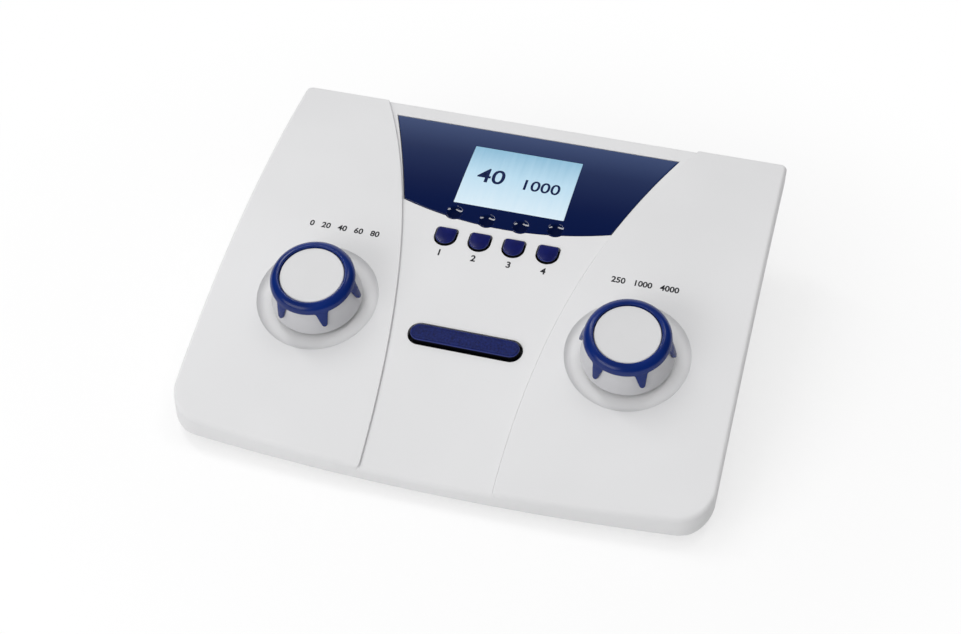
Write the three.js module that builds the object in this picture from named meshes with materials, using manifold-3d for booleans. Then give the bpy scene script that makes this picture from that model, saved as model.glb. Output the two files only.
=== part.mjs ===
// Portable audiometer: a wedge-shaped desk unit with two large dials, a display, four soft keys
// and a tone bar. Millimetres, +Z up, +Y to the back, origin on the table under the middle of the
// case. The top face is one arc that runs level at the back edge and falls to the front.

import * as THREE from "three";
import { mergeVertices } from "three/addons/utils/BufferGeometryUtils.js";
import Module from "manifold-3d";

const wasm = await Module();
wasm.setup();

// Case, the driving dimensions
const caseWidth = 225;
const caseDepth = 188;
const frontHeight = 9.3;
const backHeight = 52.9;
const frontBow = 6.5;
const frontCornerRadius = 15;
const backCornerRadius = 3;
const topEdgeRadius = 1.6;
const rimHeight = 9.5;
const rimBaseHeight = 4.1;
const coverWall = 2.5;
const seamFrontX = 27.4;
const seamBackX = 73;
const wingRise = 1;
const wingCorner = 2;

// Lower shell
const floorHeight = 2.6;
const floorThickness = 2.2;
const shellWall = 2.2;
const shellTaper = 0.3;
const visorDepth = 8;

// Clearances and the overrun of every cut
const seatGap = 0.3;
const paneGap = 0.12;
const overrun = 2;
const weldDistance = 1e-4;

// Dials. Their place is measured from the back edge, their heights along the axis from the wing
const knobX = 66.2;
const knobSetback = 121.6;
const wellRadius = 25.8;
const wellFloorRadius = 21;
const wellDepth = 1.6;
const wellLip = 0.5;
const skirtBottomRadius = 19.2;
const skirtTopRadius = 17;
const skirtBottomHeight = 0.4;
const skirtWall = 1.8;
const shoulderHeight = 12.6;
const capRadius = 13.4;
const capTopHeight = 16;
const capThickness = 2.6;
const capEdge = 0.5;
const crownRadius = 17.8;
const crownEdgeHeight = 13.5;
const crownDome = 0.9;
const hubRadius = 6;
const clawCount = 6;
const clawRootWidth = 7.2;
const clawTipWidth = 2.8;
const clawReach = 7.1;
const clawThickness = 1.2;

// Rotary encoders
const shaftRadius = 3;
const shaftTopHeight = 12;
const shaftDepth = 3.5;
const bushingRadius = 4.5;
const bushingHeight = 3.4;
const nutSides = 6;
const nutFlats = 12;
const nutThickness = 2;
const encoderWidth = 13.5;
const encoderHeight = 6.5;

// Display, its places measured from the back edge
const windowGap = 0.8;
const windowBackSetback = 10;
const windowSideSetback = 62.8;
const windowFrontSetback = 70.4;
const lensThickness = 1.2;
const lensLedge = 2;
const dimpleRadius = 4;
const dimpleDepth = 0.7;
const dimpleOverhang = 0.9;
const dimpleRim = 0.3;
const lcdSetback = 41.1;
const lcdWidth = 49.4;
const lcdLength = 37.8;
const lcdFrameBorder = 5;
const lcdFrameThickness = 3.4;
const lcdFrameCorner = 1.5;
const displayBoardBorder = 9;

// Soft keys, their row measured from the back edge
const keyCount = 4;
const keyPitch = 14.95;
const keySetback = 79.95;
const keyWidth = 9.5;
const keyLength = 9.7;
const keyCorner = 1.6;
const keyProud = 0.9;
const keyTravel = 1.2;
const keyEdge = 0.6;
const keySlotGap = 0.5;
const flangeOverlap = 1.1;
const flangeThickness = 1.2;
const stemRadius = 1.5;
const switchWidth = 7;
const switchHeight = 3.6;
const switchWall = 0.8;

// Tone bar, its place measured from the back edge
const barSetback = 129.2;
const barSlotLength = 48;
const barSlotWidth = 9.6;
const barGap = 0.6;
const barProud = 1.8;
const barTravel = 1.6;
const barEdge = 0.9;
const barStemX = 13;

// Boards
const boardThickness = 1.6;
const controlBoardWidth = 162;
const controlBoardLength = 34;
const keyBoardMargin = 5;
const mainBoardSideInset = 37.5;
const mainBoardLength = 62;
const mainBoardHeight = 9.8;
const boardPostRadius = 3;
const boardScrewRadius = 1.4;
const boardScrewHeadRadius = 2.6;
const boardScrewHead = 1.4;
const boardPostInset = 6;

// Rear panel and its sockets
const panelWidth = 152;
const panelHeight = 22;
const panelThickness = 2;
const panelFlange = 2.4;
const panelSetback = 0.4;
const jackCount = 3;
const jackFirstX = -58;
const jackPitch = 20;
const jackWidth = 15;
const jackHeight = 14;
const jackDepth = 22;
const jackBoreRadius = 3.3;
const jackBoreDepth = 19;
const jackThreadRadius = 4.7;
const jackThreadReach = 4.4;
const jackNutFlats = 12.6;
const jackNutThickness = 2.2;
const usbX = 4;
const usbWidth = 12;
const usbHeight = 11;
const usbDepth = 16;
const usbMouthWidth = 9;
const usbMouthHeight = 8;
const usbMouthDepth = 9;
const usbTongueWidth = 5.6;
const usbTongueHeight = 3;
const inletX = 24;
const inletWidth = 10;
const inletHeight = 11;
const inletDepth = 14;
const inletBoreRadius = 3.4;
const inletPinRadius = 1;
const inletBoreDepth = 9;
const rockerX = 54;
const rockerBarrelRadius = 8;
const rockerWidth = 10;
const rockerPivotDepth = 1.2;
const rockerTilt = THREE.MathUtils.degToRad(9);
const rockerFrameLip = 2;
const rockerFrameThickness = 1.4;
const rockerBodyWall = 1.2;

// Feet and case screws, their places measured from the sides, the front and the back
const footSideInset = 28.5;
const footFrontInset = 24;
const footRearInset = 28;
const footRadius = 7;
const footRecess = 1;
const footEdge = 0.6;
const screwSideInset = 18.5;
const screwFrontInset = 36;
const screwRearSideInset = 26.5;
const screwRearInset = 44;
const screwRadius = 1.5;
const screwHeadRadius = 3;
const screwHeadHeight = 2;
const screwLength = 12;
const screwSink = 1.6;
const bossRadius = 4.6;

// Steps of round shapes
const bowSteps = 5;
const cornerSteps = 5;
const sideSteps = 12;
const backCornerSteps = 2;
const edgeSteps = 2;
const seamSteps = 7;
const windowSteps = 5;
const wellSteps = 3;
const dialSteps = 30;
const domeSteps = 3;
const roundSteps = 16;
const smallSteps = 8;
const curveSteps = 4;
const clawSteps = 2;

// Values worked out from the sizes above
const halfWidth = caseWidth / 2;
const frontY = -caseDepth / 2;
const backY = caseDepth / 2;
const profileRise = backHeight - frontHeight;
const profileRadius = (caseDepth ** 2 + profileRise ** 2) / (2 * profileRise);
const bowRadius = (halfWidth ** 2 + frontBow ** 2) / (2 * frontBow);
const seamSpread = seamBackX - seamFrontX;
const seamRadius = (caseDepth ** 2 + seamSpread ** 2) / (2 * seamSpread);
const seamCentreX = seamFrontX + seamRadius;
const shellInset = coverWall + seatGap;
const shellBackY = backY - visorDepth;
const floorTop = floorHeight + floorThickness;
const panelFaceY = shellBackY - panelSetback;
const knobY = backY - knobSetback;
const barY = backY - barSetback;
const keyRowY = backY - keySetback;
const lcdY = backY - lcdSetback;
const windowBackY = backY - windowBackSetback;
const windowSideFrontY = backY - windowSideSetback;
const windowFrontY = backY - windowFrontSetback;

// Height of the arc at a place y, for a surface that lies lift above the middle panel
function arcHeight(y, lift = 0) {
  const radius = profileRadius + lift;
  return backHeight - profileRadius + Math.sqrt(radius ** 2 - (backY - y) ** 2);
}

// Underside of the cover's rim: level at the front, then parallel to the arc
function rimUnderside(y) {
  return Math.max(rimBaseHeight, arcHeight(y, wingRise) - rimHeight);
}

// Frame that lies on the arc at y, with its z axis square to the surface
function frameOnArc(y, lift = 0) {
  const slope = Math.asin((backY - y) / (profileRadius + lift));
  const turn = new THREE.Matrix4().makeRotationX(slope);
  return turn.setPosition(0, y, arcHeight(y, lift));
}

// Solids

// A closed geometry as a solid, turned to face outwards
function solid(geometry) {
  const bare = geometry.index ? geometry.toNonIndexed() : geometry.clone();
  for (const name of Object.keys(bare.attributes)) {
    if (name !== "position") bare.deleteAttribute(name);
  }
  const merged = mergeVertices(bare, weldDistance);
  const points = merged.attributes.position.array;
  const corners = Uint32Array.from(merged.index.array);
  if (signedVolume(points, corners) < 0) {
    for (let i = 0; i < corners.length; i += 3) {
      [corners[i + 1], corners[i + 2]] = [corners[i + 2], corners[i + 1]];
    }
  }
  const mesh = new wasm.Mesh({ numProp: 3, vertProperties: points, triVerts: corners });
  return new wasm.Manifold(mesh);
}

function signedVolume(points, corners) {
  const [a, b, c] = [new THREE.Vector3(), new THREE.Vector3(), new THREE.Vector3()];
  let sum = 0;
  for (let i = 0; i < corners.length; i += 3) {
    a.fromArray(points, 3 * corners[i]);
    b.fromArray(points, 3 * corners[i + 1]);
    c.fromArray(points, 3 * corners[i + 2]);
    sum += a.dot(b.cross(c));
  }
  return sum;
}

function geometryOf(body) {
  const mesh = body.getMesh();
  const points = new Float32Array(3 * mesh.numVert);
  for (let i = 0; i < mesh.numVert; i += 1) {
    points.set(mesh.vertProperties.subarray(i * mesh.numProp, i * mesh.numProp + 3), 3 * i);
  }
  const geometry = new THREE.BufferGeometry();
  geometry.setAttribute("position", new THREE.BufferAttribute(points, 3));
  geometry.setIndex(new THREE.BufferAttribute(mesh.triVerts, 1));
  geometry.computeVertexNormals();
  return geometry;
}

// Outline pushed up from low to high
function prism(shape, low, high, steps = curveSteps) {
  const options = { depth: high - low, bevelEnabled: false, curveSegments: steps };
  return new THREE.ExtrudeGeometry(shape, options).translate(0, 0, low);
}

// Outline pushed up, its top and bottom edges rounded inside the outline
function roundedPrism(shape, low, high, edge, steps = curveSteps) {
  const options = {
    depth: high - low - 2 * edge,
    bevelThickness: edge,
    bevelSize: edge,
    bevelOffset: -edge,
    bevelSegments: edgeSteps,
    curveSegments: steps,
  };
  return new THREE.ExtrudeGeometry(shape, options).translate(0, 0, low + edge);
}

// Profile of [radius, height] pairs turned round the z axis
function turned(profile, steps) {
  const points = profile.map(([radius, height]) => new THREE.Vector2(radius, height));
  return new THREE.LatheGeometry(points, steps).rotateX(Math.PI / 2);
}

function cylinder(radius, low, high, steps = roundSteps) {
  const height = high - low;
  const made = new THREE.CylinderGeometry(radius, radius, height, steps);
  return made.rotateX(Math.PI / 2).translate(0, 0, low + height / 2);
}

function block(width, length, low, high) {
  return new THREE.BoxGeometry(width, length, high - low).translate(0, 0, (low + high) / 2);
}

// Outlines

function stadium(length, width) {
  const radius = width / 2;
  const reach = length / 2 - radius;
  const shape = new THREE.Shape();
  shape.absarc(reach, 0, radius, -Math.PI / 2, Math.PI / 2, false);
  shape.absarc(-reach, 0, radius, Math.PI / 2, (3 * Math.PI) / 2, false);
  return shape;
}

function hexagon(flats) {
  const corner = flats / 2 / Math.cos(Math.PI / nutSides);
  const points = [];
  for (let i = 0; i < nutSides; i += 1) {
    const angle = (2 * Math.PI * i) / nutSides;
    points.push(new THREE.Vector2(corner * Math.cos(angle), corner * Math.sin(angle)));
  }
  return new THREE.Shape(points);
}

function roundedRectangle(width, length, radius) {
  const [x, y] = [width / 2 - radius, length / 2 - radius];
  const shape = new THREE.Shape();
  shape.absarc(x, -y, radius, -Math.PI / 2, 0, false);
  shape.absarc(x, y, radius, 0, Math.PI / 2, false);
  shape.absarc(-x, y, radius, Math.PI / 2, Math.PI, false);
  shape.absarc(-x, -y, radius, Math.PI, (3 * Math.PI) / 2, false);
  return shape;
}

// D outline of a soft key, grown by margin: flat to the display, half round to the user
function keyOutline(margin = 0) {
  const radius = keyWidth / 2 + margin;
  const centre = keyWidth / 2 - keyLength / 2;
  const corner = keyCorner + margin;
  const flat = keyLength / 2 + margin;
  const shape = new THREE.Shape();
  shape.absarc(0, centre, radius, Math.PI, 2 * Math.PI, false);
  shape.absarc(radius - corner, flat - corner, corner, 0, Math.PI / 2, false);
  shape.absarc(corner - radius, flat - corner, corner, Math.PI / 2, Math.PI, false);
  return shape;
}

// Right half of the case in plan, from the middle of the front to the back corner, moved in by
// inset. Each point is [x, y, share], the share by which a side taper moves it.
function planHalf(inset, rear) {
  const points = [];
  const cornerX = halfWidth - frontCornerRadius;
  const reach = bowRadius - frontCornerRadius;
  const cornerY = frontY + bowRadius - Math.sqrt(reach ** 2 - cornerX ** 2);
  const spread = Math.asin(cornerX / reach);
  for (let i = 0; i < bowSteps; i += 1) {
    const angle = (spread * i) / bowSteps;
    const radius = bowRadius - inset;
    const y = frontY + bowRadius - radius * Math.cos(angle);
    points.push([radius * Math.sin(angle), y, Math.sin(angle)]);
  }
  for (let i = 0; i < cornerSteps; i += 1) {
    const angle = spread + ((Math.PI / 2 - spread) * i) / cornerSteps;
    const radius = frontCornerRadius - inset;
    const x = cornerX + radius * Math.sin(angle);
    points.push([x, cornerY - radius * Math.cos(angle), Math.sin(angle)]);
  }
  const sideEnd = rear - backCornerRadius;
  for (let i = 0; i < sideSteps; i += 1) {
    points.push([halfWidth - inset, cornerY + ((sideEnd - cornerY) * i) / sideSteps, 1]);
  }
  for (let i = 0; i <= backCornerSteps; i += 1) {
    const angle = (Math.PI / 2) * (i / backCornerSteps);
    const x = halfWidth - inset - backCornerRadius * (1 - Math.cos(angle));
    points.push([x, sideEnd + backCornerRadius * Math.sin(angle), 1]);
  }
  return points;
}

// Place y of the bowed front edge at a place x near the middle
function frontEdgeY(x) {
  return frontY + bowRadius - Math.sqrt(bowRadius ** 2 - x ** 2);
}

// Closed solid from loops that run from top to bottom. Each loop is given by its right half,
// front to back, and is mirrored. The caps are strips between points that share one y.
function loftedCase(loops) {
  const half = loops[0].length;
  const count = 2 * half - 1;
  const points = [];
  for (const loop of loops) {
    for (const [x, y, z] of loop) points.push(x, y, z);
    for (let i = half - 1; i > 0; i -= 1) points.push(-loop[i][0], loop[i][1], loop[i][2]);
  }
  const faces = [];
  for (let k = 0; k + 1 < loops.length; k += 1) {
    for (let j = 0; j < count; j += 1) {
      const next = (j + 1) % count;
      const [a, b] = [k * count + j, k * count + next];
      faces.push(a, a + count, b + count, a, b + count, b);
    }
  }
  const last = (loops.length - 1) * count;
  for (let i = 0; i + 1 < half; i += 1) {
    const left = (step) => (i + step === 0 ? 0 : count - i - step);
    faces.push(i, i + 1, left(1));
    faces.push(last + i, last + left(1), last + i + 1);
    if (i > 0) {
      faces.push(i, left(1), left(0));
      faces.push(last + i, last + left(0), last + left(1));
    }
  }
  const geometry = new THREE.BufferGeometry();
  geometry.setAttribute("position", new THREE.Float32BufferAttribute(points, 3));
  geometry.setIndex(faces);
  return geometry;
}

// Plan outline at one inset, given a height for each point
function loopAt(inset, height, rear = backY) {
  return planHalf(inset, rear).map(([x, y]) => [x, y, height(y)]);
}

// Circle arc of a seam or of a window side, margin inside the seam, between two places y
function addSeamArc(shape, side, margin, fromY, toY) {
  const radius = seamRadius + margin;
  const angle = (y) => {
    const rise = Math.asin((y - frontY) / radius);
    return side > 0 ? Math.PI - rise : rise;
  };
  shape.absarc(side * seamCentreX, frontY, radius, angle(fromY), angle(toY), true);
}

// Plan of the middle panel between the seams, past the case at front and back. Where a seam
// meets the front edge, the corner of the wing beside it is rounded.
function middlePlan() {
  const shape = new THREE.Shape();
  const cornerX = seamFrontX + wingCorner;
  const edge = frontEdgeY(cornerX);
  const back = backY + overrun;
  shape.moveTo(-cornerX, frontY - overrun);
  shape.lineTo(cornerX, frontY - overrun);
  shape.absarc(cornerX, edge + wingCorner, wingCorner, -Math.PI / 2, -Math.PI, true);
  addSeamArc(shape, 1, 0, edge + wingCorner, back);
  addSeamArc(shape, -1, 0, back, edge + wingCorner);
  shape.absarc(-cornerX, edge + wingCorner, wingCorner, 0, -Math.PI / 2, true);
  return shape;
}

// Place y of the window's curved front edge at a place x
function windowEdgeY(x) {
  const halfChord = seamX(windowSideFrontY) - windowGap;
  const sagitta = windowSideFrontY - windowFrontY;
  const radius = (halfChord ** 2 + sagitta ** 2) / (2 * sagitta);
  return windowFrontY + radius - Math.sqrt(radius ** 2 - x ** 2);
}

function seamX(y) {
  return seamCentreX - Math.sqrt(seamRadius ** 2 - (y - frontY) ** 2);
}

// Plan of the window, moved in by inset: its sides run beside the seams, its front is bowed
function windowPlan(inset) {
  const margin = windowGap + inset;
  const [front, back] = [windowSideFrontY + inset, windowBackY - inset];
  const chord = seamX(front) - margin;
  const sagitta = windowSideFrontY - windowFrontY;
  const radius = (chord ** 2 + sagitta ** 2) / (2 * sagitta);
  const spread = Math.asin(chord / radius);
  const shape = new THREE.Shape();
  shape.absarc(0, front - sagitta + radius, radius, -Math.PI / 2 - spread, spread - Math.PI / 2, false);
  addSeamArc(shape, 1, margin, front, back);
  addSeamArc(shape, -1, margin, back, front);
  return shape;
}

// Keys and the dimples in front of the display share these places
function keyPlaces() {
  return Array.from({ length: keyCount }, (_, i) => (i - (keyCount - 1) / 2) * keyPitch);
}

// Dimple centres in plan: each disc overhangs the window's front edge a little
function dimplePlaces() {
  return keyPlaces().map((x) => [x, windowEdgeY(x) + dimpleRadius - dimpleOverhang]);
}

// Slab between two surfaces that follow the arc, wider and longer than the case
function arcSlab(topLift, bottomLift) {
  const section = new THREE.Shape();
  const centre = backHeight - profileRadius;
  const [top, bottom] = [profileRadius + topLift, profileRadius + bottomLift];
  const start = Math.acos((caseDepth + overrun) / top);
  const end = Math.PI / 2 - Math.asin(overrun / top);
  const turn = Math.PI - start;
  section.absarc(backY, centre, top, end, turn, false);
  section.absarc(backY, centre, bottom, turn, end, true);
  const options = { depth: caseWidth, bevelEnabled: false, curveSegments: seamSteps };
  const made = new THREE.ExtrudeGeometry(section, options);
  const basis = new THREE.Matrix4().makeBasis(
    new THREE.Vector3(0, 1, 0),
    new THREE.Vector3(0, 0, 1),
    new THREE.Vector3(1, 0, 0),
  );
  return made.applyMatrix4(basis).translate(-halfWidth, 0, 0);
}

const tall = backHeight + overrun;
const frames = {
  knob: frameOnArc(knobY, wingRise),
  key: frameOnArc(keyRowY),
  display: frameOnArc(lcdY),
};

function inFrame(geometry, frame, x = 0, y = 0) {
  return geometry.translate(x, y, 0).applyMatrix4(frame);
}

// Place y in the dial frame of a point on the middle panel
const barFrameY = (barY - knobY) / Math.cos(Math.asin((backY - knobY) / profileRadius));
const middleDrop = -wingRise;

// Depths in the dial, key and display frames
const wellFloor = -wellDepth;
const wellUnderside = wellFloor - coverWall;
const encoderTop = wellUnderside - seatGap;
const encoderBottom = encoderTop - encoderHeight;
const controlBoardTop = encoderBottom - seatGap;
const keyFlangeTop = -coverWall - seatGap;
const keyFlangeBottom = keyFlangeTop - flangeThickness;
const keySwitchTop = keyFlangeBottom - keyTravel - seatGap;
const keySwitchBottom = keySwitchTop - switchHeight;
const keyBoardTop = keySwitchBottom - seatGap;
const barFlangeTop = middleDrop - coverWall - seatGap;
const barFlangeBottom = barFlangeTop - flangeThickness;
const barSwitchTop = barFlangeBottom - barTravel - seatGap;
const barSwitchBottom = controlBoardTop + seatGap;
const lensBottom = -lensThickness;
const lensSeat = lensBottom - seatGap;
const lcdReach = lcdLength / 2 + lcdFrameBorder;
const paneBottom = lensBottom - lcdReach ** 2 / (2 * profileRadius);
const lcdFrameTop = paneBottom - seatGap;
const lcdFrameBottom = lcdFrameTop - lcdFrameThickness;
const displayBoardTop = lcdFrameBottom - seatGap;

// Cover

function coverLoops(lift) {
  const loops = [];
  for (let i = 0; i <= edgeSteps; i += 1) {
    const angle = (Math.PI / 2) * (i / edgeSteps);
    const inset = topEdgeRadius * (1 - Math.sin(angle));
    const drop = topEdgeRadius * (1 - Math.cos(angle));
    loops.push(loopAt(inset, (y) => arcHeight(y, lift) - drop));
  }
  loops.push(loopAt(0, rimUnderside));
  return loops;
}

// Outer skin: the middle panel lies between two wings that stand proud of it
function coverSkin() {
  const middle = solid(loftedCase(coverLoops(0)));
  const plan = solid(prism(middlePlan(), 0, tall + overrun, seamSteps));
  const wings = solid(loftedCase(coverLoops(wingRise))).subtract(plan);
  return middle.add(wings);
}

function coverCavity() {
  const ceiling = loopAt(coverWall, (y) => arcHeight(y, -coverWall));
  const mouth = loopAt(coverWall, (y) => rimUnderside(y) - overrun);
  return solid(loftedCase([ceiling, mouth]));
}

// Dished well round a dial: its wall curves up from the floor and meets the wing at a crisp rim
function wellCutter(x) {
  const profile = [[0, wellFloor]];
  for (let i = 0; i <= wellSteps; i += 1) {
    const share = i / wellSteps;
    const radius = wellFloorRadius + (wellRadius - wellFloorRadius) * share;
    profile.push([radius, wellFloor * (1 - share ** 2)]);
  }
  profile.push([wellRadius + wellLip, wellLip], [wellRadius + wellLip, overrun], [0, overrun]);
  return solid(inFrame(turned(profile, dialSteps), frames.knob, x));
}

// Thick pad under a well that carries the encoder
function wellPad(x) {
  const pad = cylinder(wellFloorRadius, wellUnderside, wellFloor + wellDepth / 2, dialSteps);
  return solid(inFrame(pad, frames.knob, x));
}

function dialCuts(x) {
  const hole = cylinder(bushingRadius + seatGap, wellUnderside - overrun, overrun);
  return wellCutter(x).add(solid(inFrame(hole, frames.knob, x)));
}

// Seat of the display window and the opening inside its ledge
function windowCuts() {
  const seatPlan = solid(prism(windowPlan(-seatGap), 0, tall, windowSteps));
  const discs = dimplePlaces().map(([x, y]) => {
    return solid(cylinder(dimpleRadius + seatGap, 0, tall).translate(x, y, 0));
  });
  const plan = discs.reduce((sum, disc) => sum.add(disc), seatPlan);
  const seat = plan.intersect(solid(arcSlab(overrun, lensSeat)));
  const opening = solid(inFrame(
    block(
      lcdWidth + 2 * lcdFrameBorder + 2 * seatGap,
      lcdLength + 2 * lcdFrameBorder + 2 * seatGap,
      -coverWall - overrun,
      overrun,
    ),
    frames.display,
  ));
  const inner = solid(prism(windowPlan(lensLedge), 0, tall, windowSteps));
  return seat.add(opening.intersect(inner));
}

function keyCuts() {
  const holes = keyPlaces().map((x) => {
    const hole = prism(keyOutline(keySlotGap), -coverWall - overrun, overrun);
    return solid(inFrame(hole, frames.key, x));
  });
  return holes.reduce((sum, hole) => sum.add(hole));
}

function barCut() {
  const slot = prism(stadium(barSlotLength, barSlotWidth), -coverWall - wingRise - overrun, overrun);
  return solid(inFrame(slot, frames.knob, 0, barFrameY));
}

// Screw places as [x, y]
function screwPlaces() {
  const [x, rearX] = [halfWidth - screwSideInset, halfWidth - screwRearSideInset];
  const [front, rear] = [frontY + screwFrontInset, backY - screwRearInset];
  return [[-x, front], [x, front], [-rearX, rear], [rearX, rear]];
}

// Height where a lower boss ends and the cover's boss begins
function bossSplit(y) {
  const ceiling = arcHeight(y, -coverWall);
  return (floorHeight + ceiling) / 2;
}

// Bosses that hang from the cover inside its skin and take the case screws
function coverBosses(skin) {
  const bosses = screwPlaces().map(([x, y]) => {
    const low = bossSplit(y) + seatGap;
    const tube = solid(cylinder(bossRadius, low, tall, smallSteps));
    const high = screwTipHeight(y) + seatGap;
    const pilot = solid(cylinder(screwRadius + seatGap, low - overrun, high, smallSteps));
    return tube.subtract(pilot).translate(x, y, 0);
  });
  return bosses.reduce((sum, boss) => sum.add(boss)).intersect(skin);
}

// The screw head sits below the split by the thickness of the boss floor
function screwSeatHeight(y) {
  return bossSplit(y) - screwSink;
}

function screwTipHeight(y) {
  return Math.min(screwSeatHeight(y) + screwLength, arcHeight(y - bossRadius, -coverWall) - seatGap);
}

function topCover() {
  const skin = coverSkin();
  const shell = skin.subtract(coverCavity());
  const carrying = shell.add(wellPad(-knobX)).add(wellPad(knobX)).add(coverBosses(skin));
  return carrying
    .subtract(dialCuts(-knobX))
    .subtract(dialCuts(knobX))
    .subtract(windowCuts())
    .subtract(keyCuts())
    .subtract(barCut());
}

// Lower shell

// Loop of the lower shell at one inset: below the rim its sides lean inwards
function shellLoop(inset, height, rearInset = 0) {
  return planHalf(inset, shellBackY - rearInset).map(([x, y, share]) => {
    const z = height(y);
    const lean = shellTaper * Math.max(rimUnderside(y) - z, 0) * share;
    return [x - lean, y, z];
  });
}

function bottomShell() {
  const wallTop = (y) => arcHeight(y, -coverWall - seatGap);
  const outer = solid(loftedCase([
    shellLoop(shellInset, wallTop),
    shellLoop(shellInset, rimUnderside),
    shellLoop(shellInset, () => floorHeight),
  ]));
  const innerInset = shellInset + shellWall;
  const inner = solid(loftedCase([
    shellLoop(innerInset, (y) => arcHeight(y) + overrun, shellWall),
    shellLoop(innerInset, (y) => Math.max(rimUnderside(y), floorTop + seatGap), shellWall),
    shellLoop(innerInset, () => floorTop, shellWall),
  ]));
  return outer
    .subtract(inner)
    .add(shellBosses().intersect(outer))
    .subtract(shellCuts());
}

function shellBosses() {
  const posts = screwPlaces().map(([x, y]) => {
    return solid(cylinder(bossRadius, floorHeight, bossSplit(y), smallSteps).translate(x, y, 0));
  });
  for (const [x, y] of boardPostPlaces()) {
    const post = cylinder(boardPostRadius, floorHeight, mainBoardHeight - seatGap, smallSteps);
    posts.push(solid(post.translate(x, y, 0)));
  }
  return posts.reduce((sum, post) => sum.add(post));
}

function shellCuts() {
  const cuts = screwPlaces().map(([x, y]) => {
    const wellTop = screwSeatHeight(y) - screwHeadHeight / 2;
    const well = cylinder(screwHeadRadius + seatGap, 0, wellTop, smallSteps);
    const hole = cylinder(screwRadius + seatGap, 0, tall, smallSteps);
    return solid(well).add(solid(hole)).translate(x, y, 0);
  });
  for (const [x, y] of footPlaces()) {
    cuts.push(solid(cylinder(footRadius + seatGap, 0, floorHeight + footRecess)).translate(x, y, 0));
  }
  for (const [x, y] of boardPostPlaces()) {
    const pilot = cylinder(boardScrewRadius + seatGap, floorTop, mainBoardHeight, smallSteps);
    cuts.push(solid(pilot).translate(x, y, 0));
  }
  const opening = block(panelWidth, shellWall + 2 * overrun, panelLow, panelLow + panelHeight);
  cuts.push(solid(opening.translate(0, shellBackY, 0)));
  return cuts.reduce((sum, cut) => sum.add(cut));
}

const connectorBase = mainBoardHeight + boardThickness + seatGap;
const jackCentreZ = connectorBase + jackHeight / 2;
const panelLow = jackCentreZ - panelHeight / 2;

function footPlaces() {
  const x = halfWidth - footSideInset;
  const [front, rear] = [frontY + footFrontInset, backY - footRearInset];
  return [[-x, front], [x, front], [-x, rear], [x, rear]];
}

function foot() {
  const top = floorHeight + footRecess - seatGap;
  return turned([
    [0, 0],
    [footRadius - footEdge, 0],
    [footRadius, footEdge],
    [footRadius, top],
    [0, top],
  ], roundSteps);
}

// Pan head below, threaded shank above
function caseScrew(y) {
  const seat = screwSeatHeight(y) - screwHeadHeight / 2 - seatGap;
  const head = seat - screwHeadHeight;
  const tip = screwTipHeight(y);
  const socket = screwHeadHeight / 2;
  const driver = screwRadius;
  return turned([
    [0, head + socket],
    [driver, head + socket],
    [driver, head],
    [screwHeadRadius, head],
    [screwHeadRadius, seat],
    [screwRadius, seat],
    [screwRadius, tip - screwRadius],
    [0, tip],
  ], smallSteps);
}

// Display

function displayWindow() {
  const discs = dimplePlaces().map(([x, y]) => {
    return solid(cylinder(dimpleRadius, 0, tall)).translate(x, y, 0);
  });
  const outline = solid(prism(windowPlan(0), 0, tall, windowSteps));
  const plan = discs.reduce((sum, disc) => sum.add(disc), outline);
  const lens = plan.intersect(solid(arcSlab(0, lensBottom)));
  const dimples = dimplePlaces().map(([x, y]) => {
    const local = frameOnArc(y).setPosition(x, y, arcHeight(y));
    return solid(dimpleCutter().applyMatrix4(local));
  });
  const pane = block(lcdWidth, lcdLength, lensBottom - overrun, overrun);
  const cut = dimples.reduce((sum, dimple) => sum.add(dimple), solid(inFrame(pane, frames.display)));
  return lens.subtract(cut);
}

// Ball cap that sinks a dimple
function dimpleCutter() {
  const radius = dimpleRadius - dimpleRim;
  const ballRadius = (radius ** 2 + dimpleDepth ** 2) / (2 * dimpleDepth);
  const spread = Math.asin(radius / ballRadius);
  const profile = [[0, -dimpleDepth]];
  for (let i = 1; i <= domeSteps; i += 1) {
    const angle = (spread * i) / domeSteps;
    profile.push([ballRadius * Math.sin(angle), ballRadius * (1 - Math.cos(angle)) - dimpleDepth]);
  }
  profile.push([radius, overrun], [0, overrun]);
  return turned(profile, roundSteps);
}

function lcdGlass() {
  const pane = block(lcdWidth - 2 * paneGap, lcdLength - 2 * paneGap, paneBottom, overrun);
  return solid(inFrame(pane, frames.display)).intersect(solid(arcSlab(-paneGap, -coverWall - overrun)));
}

function lcdFrame() {
  const width = lcdWidth + 2 * lcdFrameBorder;
  const length = lcdLength + 2 * lcdFrameBorder;
  return prism(roundedRectangle(width, length, lcdFrameCorner), lcdFrameBottom, lcdFrameTop);
}

function displayBoard() {
  const width = lcdWidth + 2 * displayBoardBorder;
  const length = lcdLength + 2 * lcdFrameBorder;
  return block(width, length, displayBoardTop - boardThickness, displayBoardTop);
}

// Keys and tone bar

// Square switch housing with a well for the stem of the key above it
function switchHousing(bottom, top) {
  const body = solid(block(switchWidth, switchWidth, bottom, top));
  const well = solid(cylinder(stemRadius + seatGap, bottom + switchWall, top + overrun, smallSteps));
  return body.subtract(well);
}

// Lowest point of a stem at rest: pressed, it still clears the floor of its switch
function stemTip(switchBottom, travel) {
  return switchBottom + switchWall + travel + seatGap;
}

function softKey() {
  const tip = stemTip(keySwitchBottom, keyTravel);
  const cap = solid(roundedPrism(keyOutline(), keyFlangeBottom, keyProud, keyEdge));
  const flange = solid(prism(keyOutline(keySlotGap + flangeOverlap), keyFlangeBottom, keyFlangeTop));
  const stem = solid(cylinder(stemRadius, tip, keyFlangeTop, smallSteps));
  return cap.add(flange).add(stem);
}

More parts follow.
